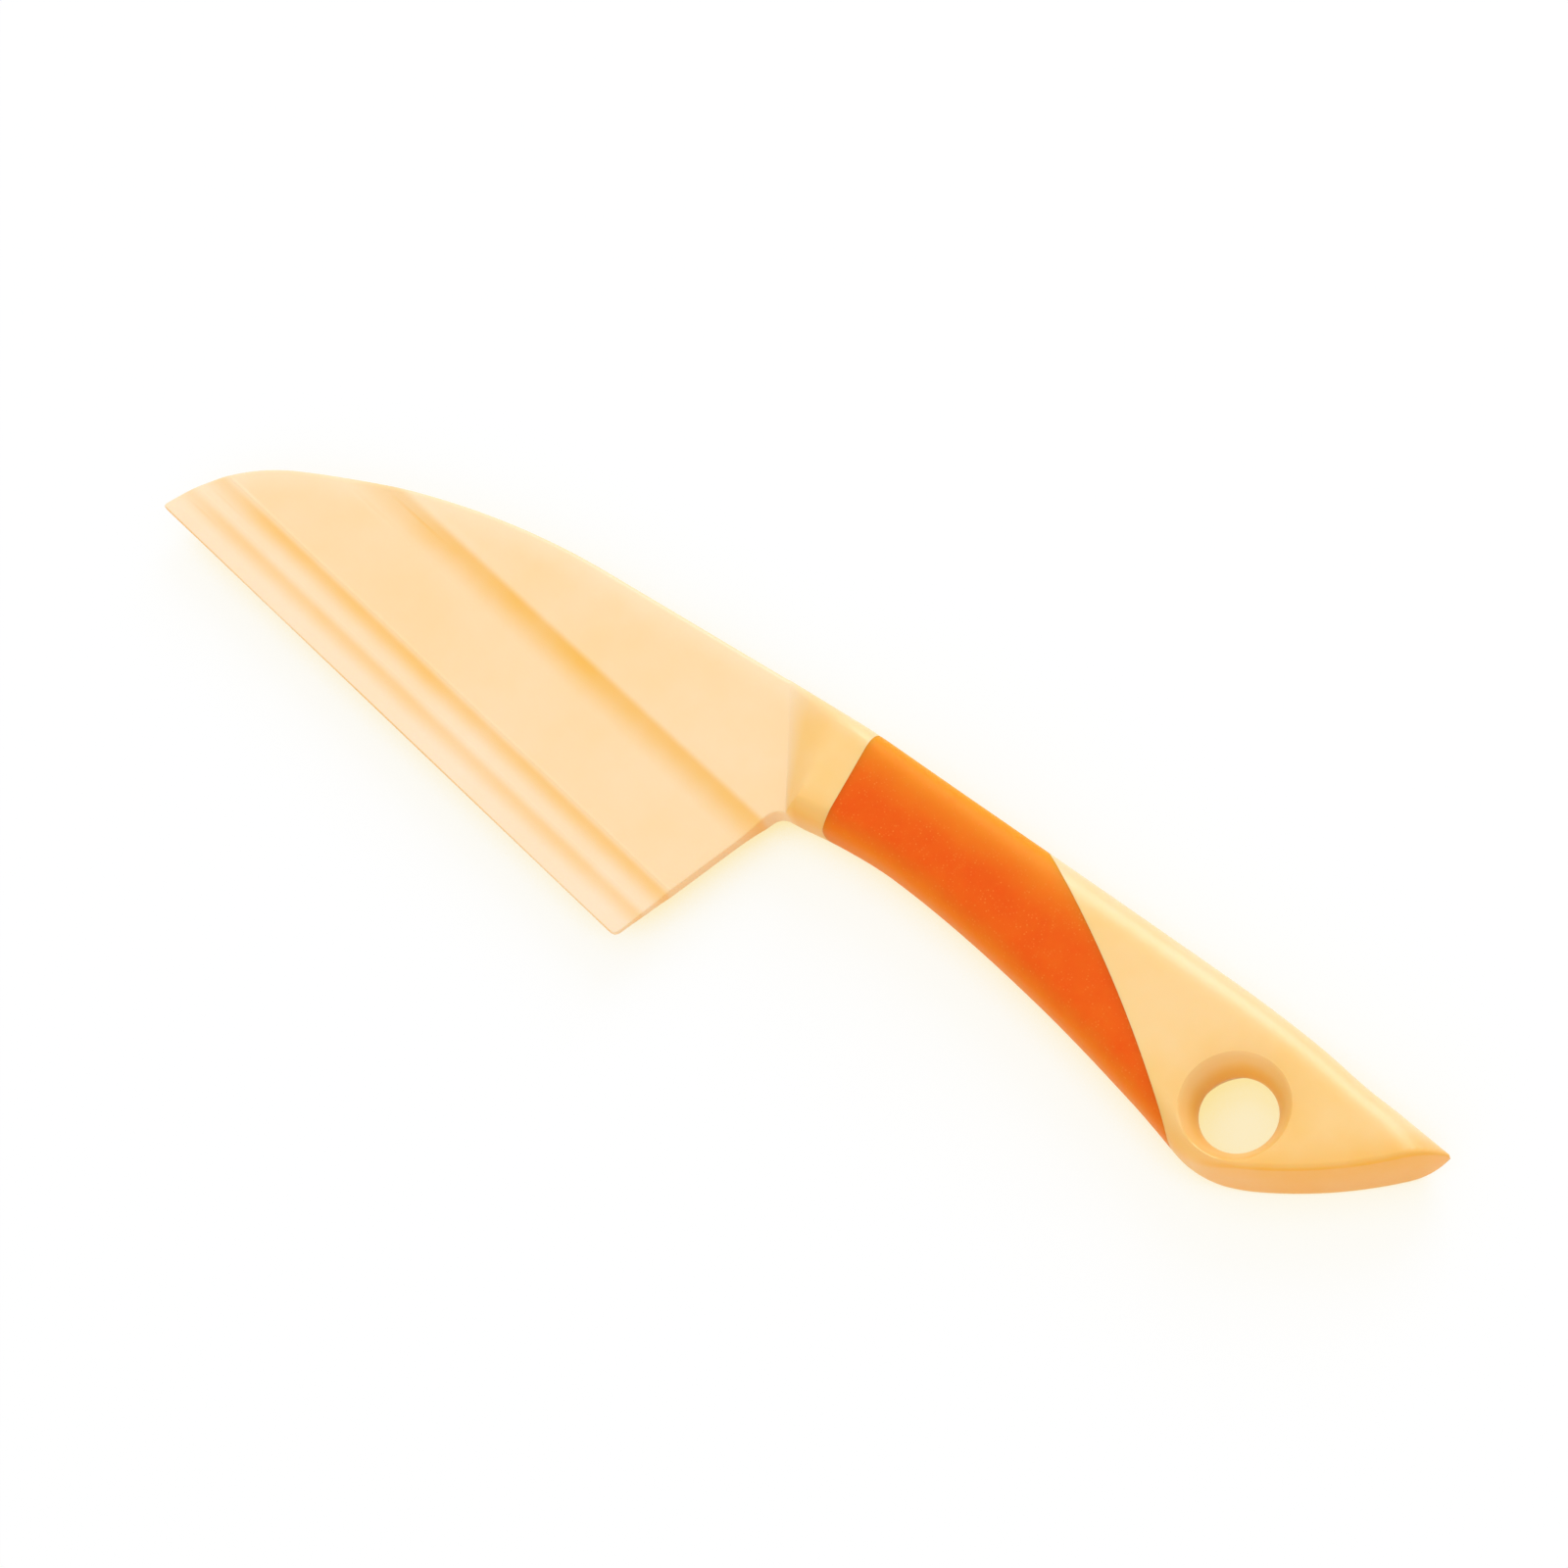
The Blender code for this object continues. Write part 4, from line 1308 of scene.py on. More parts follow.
@dataclass
class FluteTree:
    """The node tree that lets the flutes into both faces of the blade, from named sizes."""

    flutes: Tuple[Flute, ...]
    edge_half: float
    back_half: float
    bead_half: float = 0.3
    sizes: Tuple[str, ...] = ("Crest", "Width", "Rise", "Steepest", "Bead", "Tint")

    def sized(self, tree: NodeTree, names: Sequence[str]) -> Dict[str, str]:
        """Adds number inputs to a tree's interface, and gives the identifier of each by its name."""
        kind = {"in_out": "INPUT", "socket_type": "NodeSocketFloat"}
        return {name: tree.interface.new_socket(name=name, **kind).identifier for name in names}

    def flute_group(self) -> NodeTree:
        """One flute's share of the thickness at a distance from the cutting edge.

        The face climbs along one parabola up to its steepest place, and along another from there on.

        Returns:
            A tree with the height that it adds, and its painted shade, which grows where the face climbs
            steeply.
        """
        tree = bpy.data.node_groups.new("flute_rise", "GeometryNodeTree")
        self.sized(tree, ("From Edge", *self.sizes))
        for name in ("Height", "Slope"):
            tree.interface.new_socket(name=name, in_out="OUTPUT", socket_type="NodeSocketFloat")
        values = {socket.name: socket for socket in add_node(tree, "NodeGroupInput").outputs}
        # What each step gives, its operation, and the two values that it takes
        steps = (
            ("foot", "SUBTRACT", "Crest", "Width"),
            ("past", "SUBTRACT", "From Edge", "foot"),
            ("way", "DIVIDE", "past", "Width"),
            ("short", "MINIMUM", "way", 1.0),
            ("share", "MAXIMUM", "short", 0.0),
            ("squared", "MULTIPLY", "share", "share"),
            ("low", "DIVIDE", "squared", "Steepest"),
            ("left", "SUBTRACT", 1.0, "share"),
            ("upper", "SUBTRACT", 1.0, "Steepest"),
            ("high slope", "DIVIDE", "left", "upper"),
            ("fall", "MULTIPLY", "left", "high slope"),
            ("high", "SUBTRACT", 1.0, "fall"),
            ("is high", "GREATER_THAN", "share", "Steepest"),
            ("low slope", "DIVIDE", "share", "Steepest"),
            ("slope", "MINIMUM", "low slope", "high slope"),
            ("off", "SUBTRACT", "From Edge", "Crest"),
            ("aside", "ABSOLUTE", "off", 0.0),
        )
        for name, operation, first, second in steps:
            pair = {0: values.get(first, first), 1: values.get(second, second)}
            values[name] = add_node(tree, "ShaderNodeMath", pair, operation=operation).outputs[0]
        climb = {0: values["is high"], 2: values["low"], 3: values["high"]}
        climbed = add_node(tree, "ShaderNodeMix", climb, data_type="FLOAT").outputs[0]
        ridge = {"Value": values["aside"], "From Min": self.bead_half, "From Max": 0.0}
        ridge["To Max"] = values["Bead"]
        bead = add_node(tree, "ShaderNodeMapRange", ridge, interpolation_type="SMOOTHSTEP").outputs[0]
        lean = {"Value": values["slope"]}
        eased = add_node(tree, "ShaderNodeMapRange", lean, interpolation_type="SMOOTHSTEP").outputs[0]
        rise, tint = {0: climbed, 1: values["Rise"]}, {0: eased, 1: values["Tint"]}
        height = add_node(tree, "ShaderNodeMath", rise, operation="MULTIPLY").outputs[0]
        added = add_node(tree, "ShaderNodeMath", {0: height, 1: bead}, operation="ADD").outputs[0]
        tinted = add_node(tree, "ShaderNodeMath", tint, operation="MULTIPLY").outputs[0]
        add_node(tree, "NodeGroupOutput", {"Height": added, "Slope": tinted})
        return tree

    def tree(self, finish: Material) -> Tuple[NodeTree, Dict[str, object]]:
        """The whole tree.

        Args:
            finish: The material that the form gets.

        Returns:
            The tree, and the value of each input by its identifier.
        """
        group = self.flute_group()
        tree = bpy.data.node_groups.new("blade_flutes", "GeometryNodeTree")
        for way in ("INPUT", "OUTPUT"):
            tree.interface.new_socket(name="Geometry", in_out=way, socket_type="NodeSocketGeometry")
        dressed = tree.interface.new_socket(name="Finish", in_out="INPUT", socket_type="NodeSocketMaterial")
        known = {"Edge Half": self.edge_half, "Back Half": self.back_half}
        for number, flute in enumerate(self.flutes, start=1):
            known.update({f"Flute {number} {name}": getattr(flute, name.lower()) for name in self.sizes})
        own = self.sized(tree, list(known))
        values: Dict[str, object] = {own[name]: size for name, size in known.items()}
        values[dressed.identifier] = finish
        start = add_node(tree, "NodeGroupInput").outputs
        place = add_node(tree, "GeometryNodeInputPosition").outputs[0]
        x, y, z = add_node(tree, "ShaderNodeSeparateXYZ", {0: place}).outputs
        sums: Dict[str, object] = {"Height": start["Edge Half"], "Slope": 0.0}
        for number in range(1, len(self.flutes) + 1):
            inputs = {name: start[f"Flute {number} {name}"] for name in self.sizes}
            flute_node = add_node(tree, "GeometryNodeGroup", {"From Edge": y, **inputs}, node_tree=group)
            for name, so_far in sums.items():
                pair = {0: so_far, 1: flute_node.outputs[name]}
                sums[name] = add_node(tree, "ShaderNodeMath", pair, operation="ADD").outputs[0]
        ratio = {0: sums["Height"], 1: start["Back Half"]}
        factor = add_node(tree, "ShaderNodeMath", ratio, operation="DIVIDE").outputs[0]
        thick = {"Name": Fact.HALF_THICKNESS.value}
        half = add_node(tree, "GeometryNodeInputNamedAttribute", thick, data_type="FLOAT").outputs[0]
        raised, thinner = (
            add_node(tree, "ShaderNodeMath", {0: value, 1: factor}, operation="MULTIPLY").outputs[0]
            for value in (z, half)
        )
        form = start["Geometry"]
        # flute_slope keeps each place's share of painted shade in the flutes
        for fact, source in ((Fact.HALF_THICKNESS, thinner), (Fact.FLUTE_SLOPE, sums["Slope"])):
            store = {"Geometry": form, "Name": fact.value, "Value": source}
            kept = add_node(tree, "GeometryNodeStoreNamedAttribute", store, data_type="FLOAT", domain="POINT")
            form = kept.outputs[0]
        moved = add_node(tree, "ShaderNodeCombineXYZ", {0: x, 1: y, 2: raised}).outputs[0]
        last_steps = {
            "GeometryNodeSetPosition": {"Position": moved},
            "GeometryNodeRealizeInstances": {},
            "GeometryNodeSetMaterial": {"Material": start["Finish"]},
        }
        for kind, inputs in last_steps.items():
            form = add_node(tree, kind, {"Geometry": form, **inputs}).outputs[0]
        add_node(tree, "NodeGroupOutput", {"Geometry": form})
        return tree, values

    def apply(self, mesh: Mesh, finish: Material) -> Mesh:
        """Lets the flutes into a mesh.

        Args:
            mesh: The form in the drawing's millimetres, with its half_thickness attribute.
            finish: The material that it gets.

        Returns:
            A new plain mesh with the flutes.
        """
        holder = placed("flute_holder", mesh)
        tree, values = self.tree(finish)
        modifier = holder.modifiers.new("flutes", "NODES")
        modifier.node_group = tree
        for identifier, value in values.items():
            modifier[identifier] = value
        graph = bpy.context.evaluated_depsgraph_get()
        result = bpy.data.meshes.new_from_object(holder.evaluated_get(graph))
        holder.modifiers.remove(modifier)
        bpy.data.objects.remove(holder)
        return result


@dataclass
class Net:
    """A closed form as places with their facts, and faces."""

    places: List[Vector] = field(default_factory=list)
    normals: List[Vector] = field(default_factory=list)
    facts: Dict[str, List[float]] = field(default_factory=lambda: {fact.value: [] for fact in Fact})
    faces: List[Face] = field(default_factory=list)

    @classmethod
    def read(cls, mesh: Mesh) -> "Net":
        """Takes a mesh apart.

        Args:
            mesh: The mesh, with an attribute for each fact.

        Returns:
            Its places, normals, facts and faces.
        """
        facts = {fact.value: [item.value for item in mesh.attributes[fact.value].data] for fact in Fact}
        net = cls([v.co.copy() for v in mesh.vertices], [v.normal.copy() for v in mesh.vertices], facts)
        net.faces = [tuple(polygon.vertices) for polygon in mesh.polygons]
        return net

    def add(self, source: "Net", k: int, depth: float, aside: Vector) -> int:
        """Adds a copy of another net's place.

        Args:
            source: The other net.
            k: The place's number there.
            depth: How far the copy lies under the surface.
            aside: How far it is moved besides.

        Returns:
            The copy's number.
        """
        self.places.append(source.places[k] - source.normals[k] * depth + aside)
        for name, values in self.facts.items():
            values.append(source.facts[name][k])
        return len(self.places) - 1

    def mesh(self, name: str) -> Mesh:
        """Makes a mesh of the net in metres, where the CAD lies, with its facts as attributes.

        Args:
            name: The mesh's name.

        Returns:
            The mesh.
        """
        made = bpy.data.meshes.new(name)
        made.from_pydata([(place + DRAWING_ORIGIN) * MM for place in self.places], [], self.faces)
        for fact, values in self.facts.items():
            made.attributes.new(fact, "FLOAT", "POINT").data.foreach_set("value", values)
        return made


@dataclass
class GripShells:
    """Parts the knife's surface at the seam, into the body with its core and the grip's sleeve."""

    net: Net
    seam: GripSeam
    grip_thickness: float = 1.5
    seat_gap: float = 0.3
    seam_gap: float = 0.006

    def on_grip(self, face: Face) -> bool:
        """Whether a face of the surface belongs to the grip."""
        middle = sum((self.net.places[k] for k in face), Vector()) / len(face)
        return self.seam.inside((middle.x, middle.y))

    def sink_seam(self) -> None:
        """Lets the fine groove of the seam into the surface."""
        for place, normal in zip(self.net.places, self.net.normals):
            place -= normal * self.seam.groove((place.x, place.y))

    def shell(self, own: Sequence[Face], other: Sequence[Face], depth: float, gap: float) -> Net:
        """A closed form of some faces, closed off under the surface.

        Args:
            own: Faces that stay where they are.
            other: Faces that are drawn in under the surface.
            depth: How far they are drawn in.
            gap: How far the form draws back from the seam.

        Returns:
            The form. Its own faces and the drawn in ones are joined by upright walls.
        """
        form = Net()
        own_edges = {(face[i], face[(i + 1) % len(face)]) for face in own for i in range(len(face))}
        border = [(a, b) for a, b in own_edges if (b, a) not in own_edges]
        on_border = {k for edge in border for k in edge}
        copies: List[Dict[int, int]] = []
        for faces, sunk in ((own, 0.0), (other, depth)):
            copy: Dict[int, int] = {}
            for k in (corner for face in faces for corner in face):
                if k not in copy:
                    aside = self.drawn_back(k, gap) if k in on_border else Vector()
                    copy[k] = form.add(self.net, k, sunk, aside)
            form.faces += [tuple(copy[k] for k in face) for face in faces]
            copies.append(copy)
        upper, under = copies
        form.faces += [(upper[b], upper[a], under[a], under[b]) for a, b in border]
        return form

    def drawn_back(self, k: int, gap: float) -> Vector:
        """How the form's border draws back from the seam.

        Args:
            k: The number of a place on the border.
            gap: How far it draws back.

        Returns:
            The step that it makes there.
        """
        if gap == 0:
            return Vector()
        place = (self.net.places[k].x, self.net.places[k].y)
        if abs(self.seam.front_side(place)) < abs(self.seam.rear_side(place)):
            back, palm = self.seam.front_ends()
            return Vector((back[1] - palm[1], palm[0] - back[0], 0.0)).normalized() * gap
        centre = self.seam.rear_arc()[0]
        return (Vector((*centre, 0.0)) - Vector((*place, 0.0))).normalized() * gap

    def body(self) -> Net:
        """The body: its visible faces, and the core under the grip."""
        grip = [face for face in self.net.faces if self.on_grip(face)]
        rest = [face for face in self.net.faces if not self.on_grip(face)]
        return self.shell(rest, grip, self.grip_thickness + self.seat_gap, 0.0)

    def grip(self) -> Net:
        """The grip's sleeve: its visible faces, and the bore that lies round the core."""
        grip = [face for face in self.net.faces if self.on_grip(face)]
        bore = [tuple(reversed(face)) for face in grip]
        return self.shell(grip, bore, self.grip_thickness, self.seam_gap)


@dataclass(frozen=True)
class MouldedSkin:
    """What both polymers share: a fine grain from their tool, and light that goes in and comes out again."""

    name: str
    roughness: float
    smoother: float
    rougher: float
    ior: float
    sheen: float
    grain_mm: float
    grain_height_mm: float
    grain_strength: float
    scatter_mm: Tuple[float, float, float]
    mottle_mm: float
    mottle_detail: float
    mottle_roughness: float
    grain_detail: float = 2.0
    grain_roughness: float = 0.6

    def skin(self, tree: NodeTree, where: Socket, mottle: Socket) -> Tuple[Socket, object]:
        """The polymer's colour, and the share of its light that is scattered inside it."""
        raise NotImplementedError

    def layered(self, tree: NodeTree, base: str, layers: Iterable[Tuple[Socket, str]]) -> Socket:
        """One colour with others laid over it.

        Args:
            tree: The material's tree.
            base: The first colour.
            layers: For each colour over it, how much of it shows, and the colour.

        Returns:
            The colour that comes out.
        """
        tint: object = linear(base)
        for share, code in layers:
            layer = {0: share, 6: tint, 7: linear(code)}
            tint = add_node(tree, "ShaderNodeMix", layer, data_type="RGBA").outputs[2]
        return tint

    def material(self) -> Material:
        """Builds the finish.

        Returns:
            The material.
        """
        made = bpy.data.materials.new(self.name)
        tree = empty_tree(made)
        where = add_node(tree, "ShaderNodeTexCoord").outputs["Object"]
        clouds = []
        for size, detail, rough in (
            (self.mottle_mm, self.mottle_detail, self.mottle_roughness),
            (self.grain_mm, self.grain_detail, self.grain_roughness),
        ):
            inputs = {"Vector": where, "Scale": 1 / (size * MM), "Detail": detail, "Roughness": rough}
            clouds.append(add_node(tree, "ShaderNodeTexNoise", inputs).outputs[0])
        mottle, grain = clouds
        tint, scatter = self.skin(tree, where, mottle)
        least, most = self.roughness - self.smoother, self.roughness + self.rougher
        rough = add_node(tree, "ShaderNodeMapRange", {"Value": grain, "To Min": least, "To Max": most})
        relief = {"Height": grain, "Distance": self.grain_height_mm * MM, "Strength": self.grain_strength}
        bump = add_node(tree, "ShaderNodeBump", relief)
        shader = add_node(tree, "ShaderNodeBsdfPrincipled", {
            "Base Color": tint,
            "Roughness": rough.outputs[0],
            "IOR": self.ior,
            "Specular IOR Level": self.sheen,
            "Normal": bump.outputs[0],
            "Subsurface Weight": scatter,
            "Subsurface Radius": self.scatter_mm,
            "Subsurface Scale": MM,
        })
        add_node(tree, "ShaderNodeOutputMaterial", {"Surface": shader.outputs[0]})
        return made


@dataclass(frozen=True)
class MouldedPolypropylene(MouldedSkin):
    """Cream polypropylene, injection moulded in a finely matted tool.

    The eye gets a soft waxy sheen, a little light that goes in and comes out again, and a colour that is
    paler where the plastic is thin and deeper where it is thick. Over that colour, shade is painted in the
    flutes, on the ramp, at the low borders, along the cutting edge and in and round the hole, and a highlight
    is painted along the back.
    """

    name: str = Slot.BODY.value
    thin: str = "#FFE3BF"
    blade: str = "#FFDAA7"
    thick: str = "#FFD189"
    # Colour of the painted shade in the flutes
    painted_flute_shade: str = "#FFC66C"
    # Colour of the painted shade at low borders, the cutting edge, the hole and the ramp
    deep: str = "#F8B436"
    # Painted highlight along the back's rounding, paler the nearer the back
    spine_highlight: str = "#FFE8C4"
    spine_highlight_mm: float = 5.5
    spine_highlight_share: float = 0.5
    thin_half_mm: float = 0.55
    blade_half_mm: float = 1.2
    back_half_mm: float = 2.0
    handle_half_mm: float = 3.5
    roughness: float = 0.33
    smoother: float = 0.06
    rougher: float = 0.08
    ior: float = 1.49
    sheen: float = 0.5
    mottle_mm: float = 16.0
    mottle_detail: float = 3.0
    mottle_roughness: float = 0.55
    least_depth: float = 0.86
    most_depth: float = 1.14
    grain_mm: float = 0.5
    grain_height_mm: float = 0.012
    grain_strength: float = 0.5
    scatter_thin: float = 0.1
    scatter_thick: float = 0.3
    scatter_mm: Tuple[float, float, float] = (1.2, 0.7, 0.4)

    def skin(self, tree: NodeTree, where: Socket, mottle: Socket) -> Tuple[Socket, object]:
        """The plastic's colour by its thickness, with painted shade and highlight, and how much light it
        scatters.

        Args:
            tree: The material's tree.
            where: The place on the piece. Not used.
            mottle: A cloudy pattern.

        Returns:
            The colour, and the share of scattered light.
        """
        half, slope, back, warmth = (
            add_node(tree, "ShaderNodeAttribute", attribute_name=fact.value).outputs["Fac"]
            for fact in (Fact.HALF_THICKNESS, Fact.FLUTE_SLOPE, Fact.FROM_BACK, Fact.WARMTH)
        )
        span = {"Value": half, "From Min": self.thin_half_mm, "From Max": self.blade_half_mm}
        to_blade = add_node(tree, "ShaderNodeMapRange", span).outputs[0]
        span = {"Value": half, "From Min": self.back_half_mm, "From Max": self.handle_half_mm}
        to_thick = add_node(tree, "ShaderNodeMapRange", span).outputs[0]
        # Painted highlight near the back
        near = {"Value": back, "From Min": self.spine_highlight_mm, "From Max": 0.0, "To Max": self.spine_highlight_share}
        spine_highlight = add_node(tree, "ShaderNodeMapRange", near, interpolation_type="SMOOTHSTEP").outputs[0]
        # Laid over the colour by thickness: painted shade in the flutes, a painted highlight near the back,
        # and painted shade at low borders, the cutting edge, the hole and the ramp
        shares = (to_blade, to_thick, slope, spine_highlight, warmth)
        codes = (self.blade, self.thick, self.painted_flute_shade, self.spine_highlight, self.deep)
        tint = self.layered(tree, self.thin, zip(shares, codes))
        strength = {"Value": mottle, "To Min": self.least_depth, "To Max": self.most_depth}
        depth = add_node(tree, "ShaderNodeMapRange", strength).outputs[0]
        scattered = {"Value": to_thick, "To Min": self.scatter_thin, "To Max": self.scatter_thick}
        scatter = add_node(tree, "ShaderNodeMapRange", scattered).outputs[0]
        tinted = add_node(tree, "ShaderNodeHueSaturation", {"Saturation": depth, "Color": tint}).outputs[0]
        return tinted, scatter


@dataclass(frozen=True)
class OvermouldedElastomer(MouldedSkin):
    """Orange thermoplastic elastomer, moulded over the handle in a blasted tool.

    The eye gets a satin skin with no mirror in it, a dense orange, and fine pale specks from the tool. A
    highlight is painted along its back and its lower edge.
    """

    name: str = Slot.GRIP.value
    deep: str = "#F25A00"
    light: str = "#F46606"
    speck: str = "#FF9A45"
    # Colour of the painted highlight along the grip's back and lower edge
    thin: str = "#FFA824"
    back_mm: float = 11.0
    back_highlight: float = 0.95
    palm_mm: float = 4.0
    palm_highlight: float = 0.45
    border_power: float = 1.6
    roughness: float = 0.5
    smoother: float = 0.08
    rougher: float = 0.08
    sheen: float = 0.14
    ior: float = 1.5
    mottle_mm: float = 9.0
    mottle_detail: float = 4.0
    mottle_roughness: float = 0.6
    mottle_from: float = 0.35
    mottle_to: float = 0.65
    # Real specks are about 0.2 mm. They are drawn a little coarser so that they show.
    speck_mm: float = 0.45
    speck_share: float = 0.55
    speck_from: float = 0.5
    speck_to: float = 0.95
    speck_border: float = 0.4
    speck_core: float = 0.15
    grain_mm: float = 0.6
    grain_height_mm: float = 0.02
    grain_strength: float = 0.6
    scatter: float = 0.5
    scatter_mm: Tuple[float, float, float] = (2.5, 0.5, 0.1)

    def skin(self, tree: NodeTree, where: Socket, mottle: Socket) -> Tuple[Socket, object]:
        """The elastomer's colour, with a painted highlight along its back and lower edge, and how much light
        it scatters.

        Args:
            tree: The material's tree.
            where: The place on the piece.
            mottle: A cloudy pattern.

        Returns:
            The colour, and the share of scattered light.
        """
        patches = {"Value": mottle, "From Min": self.mottle_from, "From Max": self.mottle_to}
        layers = [(add_node(tree, "ShaderNodeMapRange", patches).outputs[0], self.light)]
        # Painted highlight: paler towards the back and the lower edge
        borders = (
            (Fact.FROM_BACK, self.back_mm, self.back_highlight),
            (Fact.FROM_PALM, self.palm_mm, self.palm_highlight),
        )
        for fact, reach, most in borders:
            off = add_node(tree, "ShaderNodeAttribute", attribute_name=fact.value).outputs["Fac"]
            near = {"Value": off, "From Min": reach, "From Max": 0.0}
            edge = add_node(tree, "ShaderNodeMapRange", near).outputs[0]
            for operation, amount in (("POWER", self.border_power), ("MULTIPLY", most)):
                edge = add_node(tree, "ShaderNodeMath", {0: edge, 1: amount}, operation=operation).outputs[0]
            layers.append((edge, self.thin))
        cells = {"Vector": where, "Scale": 1 / (self.speck_mm * MM), "Randomness": 1.0}
        cell = add_node(tree, "ShaderNodeTexVoronoi", cells).outputs
        chosen = {"Value": cell["Color"], "From Min": self.speck_from, "From Max": self.speck_to}
        chance = add_node(tree, "ShaderNodeMapRange", {**chosen, "To Max": self.speck_share}).outputs[0]
        dots = {"Value": cell["Distance"], "From Min": self.speck_border, "From Max": self.speck_core}
        speck = add_node(tree, "ShaderNodeMapRange", {**dots, "To Max": chance}).outputs[0]
        layers.append((speck, self.speck))
        return self.layered(tree, self.deep, layers), self.scatter


def direct_rays(tree: NodeTree) -> Socket:
    """Adds nodes that tell rays that show the background, straight or by a gloss, from those that light.

    Args:
        tree: The tree that they go into.

    Returns:
        The socket that gives 1 for rays that show it, and 0 for the others.
    """
    rays = add_node(tree, "ShaderNodeLightPath").outputs
    shows = rays["Is Camera Ray"]
    for kind in ("Is Glossy Ray", "Is Transmission Ray"):
        shows = add_node(tree, "ShaderNodeMath", {0: shows, 1: rays[kind]}, operation="MAXIMUM").outputs[0]
    return shows


@dataclass(frozen=True)
class WhiteTabletop:
    """A smooth white laminate tabletop. The eye gets an even white that takes a faint, warm and soft shadow.

    lit is how much of its white, in linear colour, comes from the light that falls on it. The rest is even,
    but painted yellow shade is laid on it where things stand close on all sides, as at the hole's bottom.
    """

    name: str = "white_tabletop"
    white: str = "#FFFFFF"
    bounce: str = "#FFDC9A"
    roughness: float = 0.0
    lit: Tuple[float, float, float] = (0.06, 0.12, 0.28)
    painted_contact_shade: str = "#FFE684"
    contact_shade_mm: float = 14.0
    contact_shade_from: float = 0.55
    contact_shade_to: float = 0.1
    samples: int = 4

    def material(self) -> Material:
        """Builds the finish.

        Returns:
            The material.
        """
        made = bpy.data.materials.new(self.name)
        tree = empty_tree(made)
        seen = direct_rays(tree)
        # Painted shade: ambient occlusion turns the floor yellow where the knife stands close round it
        reach = {"Distance": self.contact_shade_mm * MM}
        free = add_node(tree, "ShaderNodeAmbientOcclusion", reach, samples=self.samples).outputs["AO"]
        shut = {"Value": free, "From Min": self.contact_shade_from, "From Max": self.contact_shade_to}
        share = add_node(tree, "ShaderNodeMapRange", shut).outputs[0]
        tint, shade = (
            add_node(tree, "ShaderNodeMix", {0: part, 6: low, 7: high}, data_type="RGBA").outputs[2]
            for part, low, high in (
                (seen, linear(self.bounce), (*self.lit, 1.0)),
                (share, linear(self.white), linear(self.painted_contact_shade)),
            )
        )
        unlit = {0: 1.0, 6: (*(1 - part for part in self.lit), 1.0), 7: shade}
        rest = add_node(tree, "ShaderNodeMix", unlit, data_type="RGBA", blend_type="MULTIPLY").outputs[2]
        lit = add_node(tree, "ShaderNodeBsdfDiffuse", {"Color": tint, "Roughness": self.roughness}).outputs[0]
        even = add_node(tree, "ShaderNodeEmission", {"Color": rest, "Strength": seen}).outputs[0]
        both = add_node(tree, "ShaderNodeAddShader", {0: lit, 1: even}).outputs[0]
        add_node(tree, "ShaderNodeOutputMaterial", {"Surface": both})
        return made


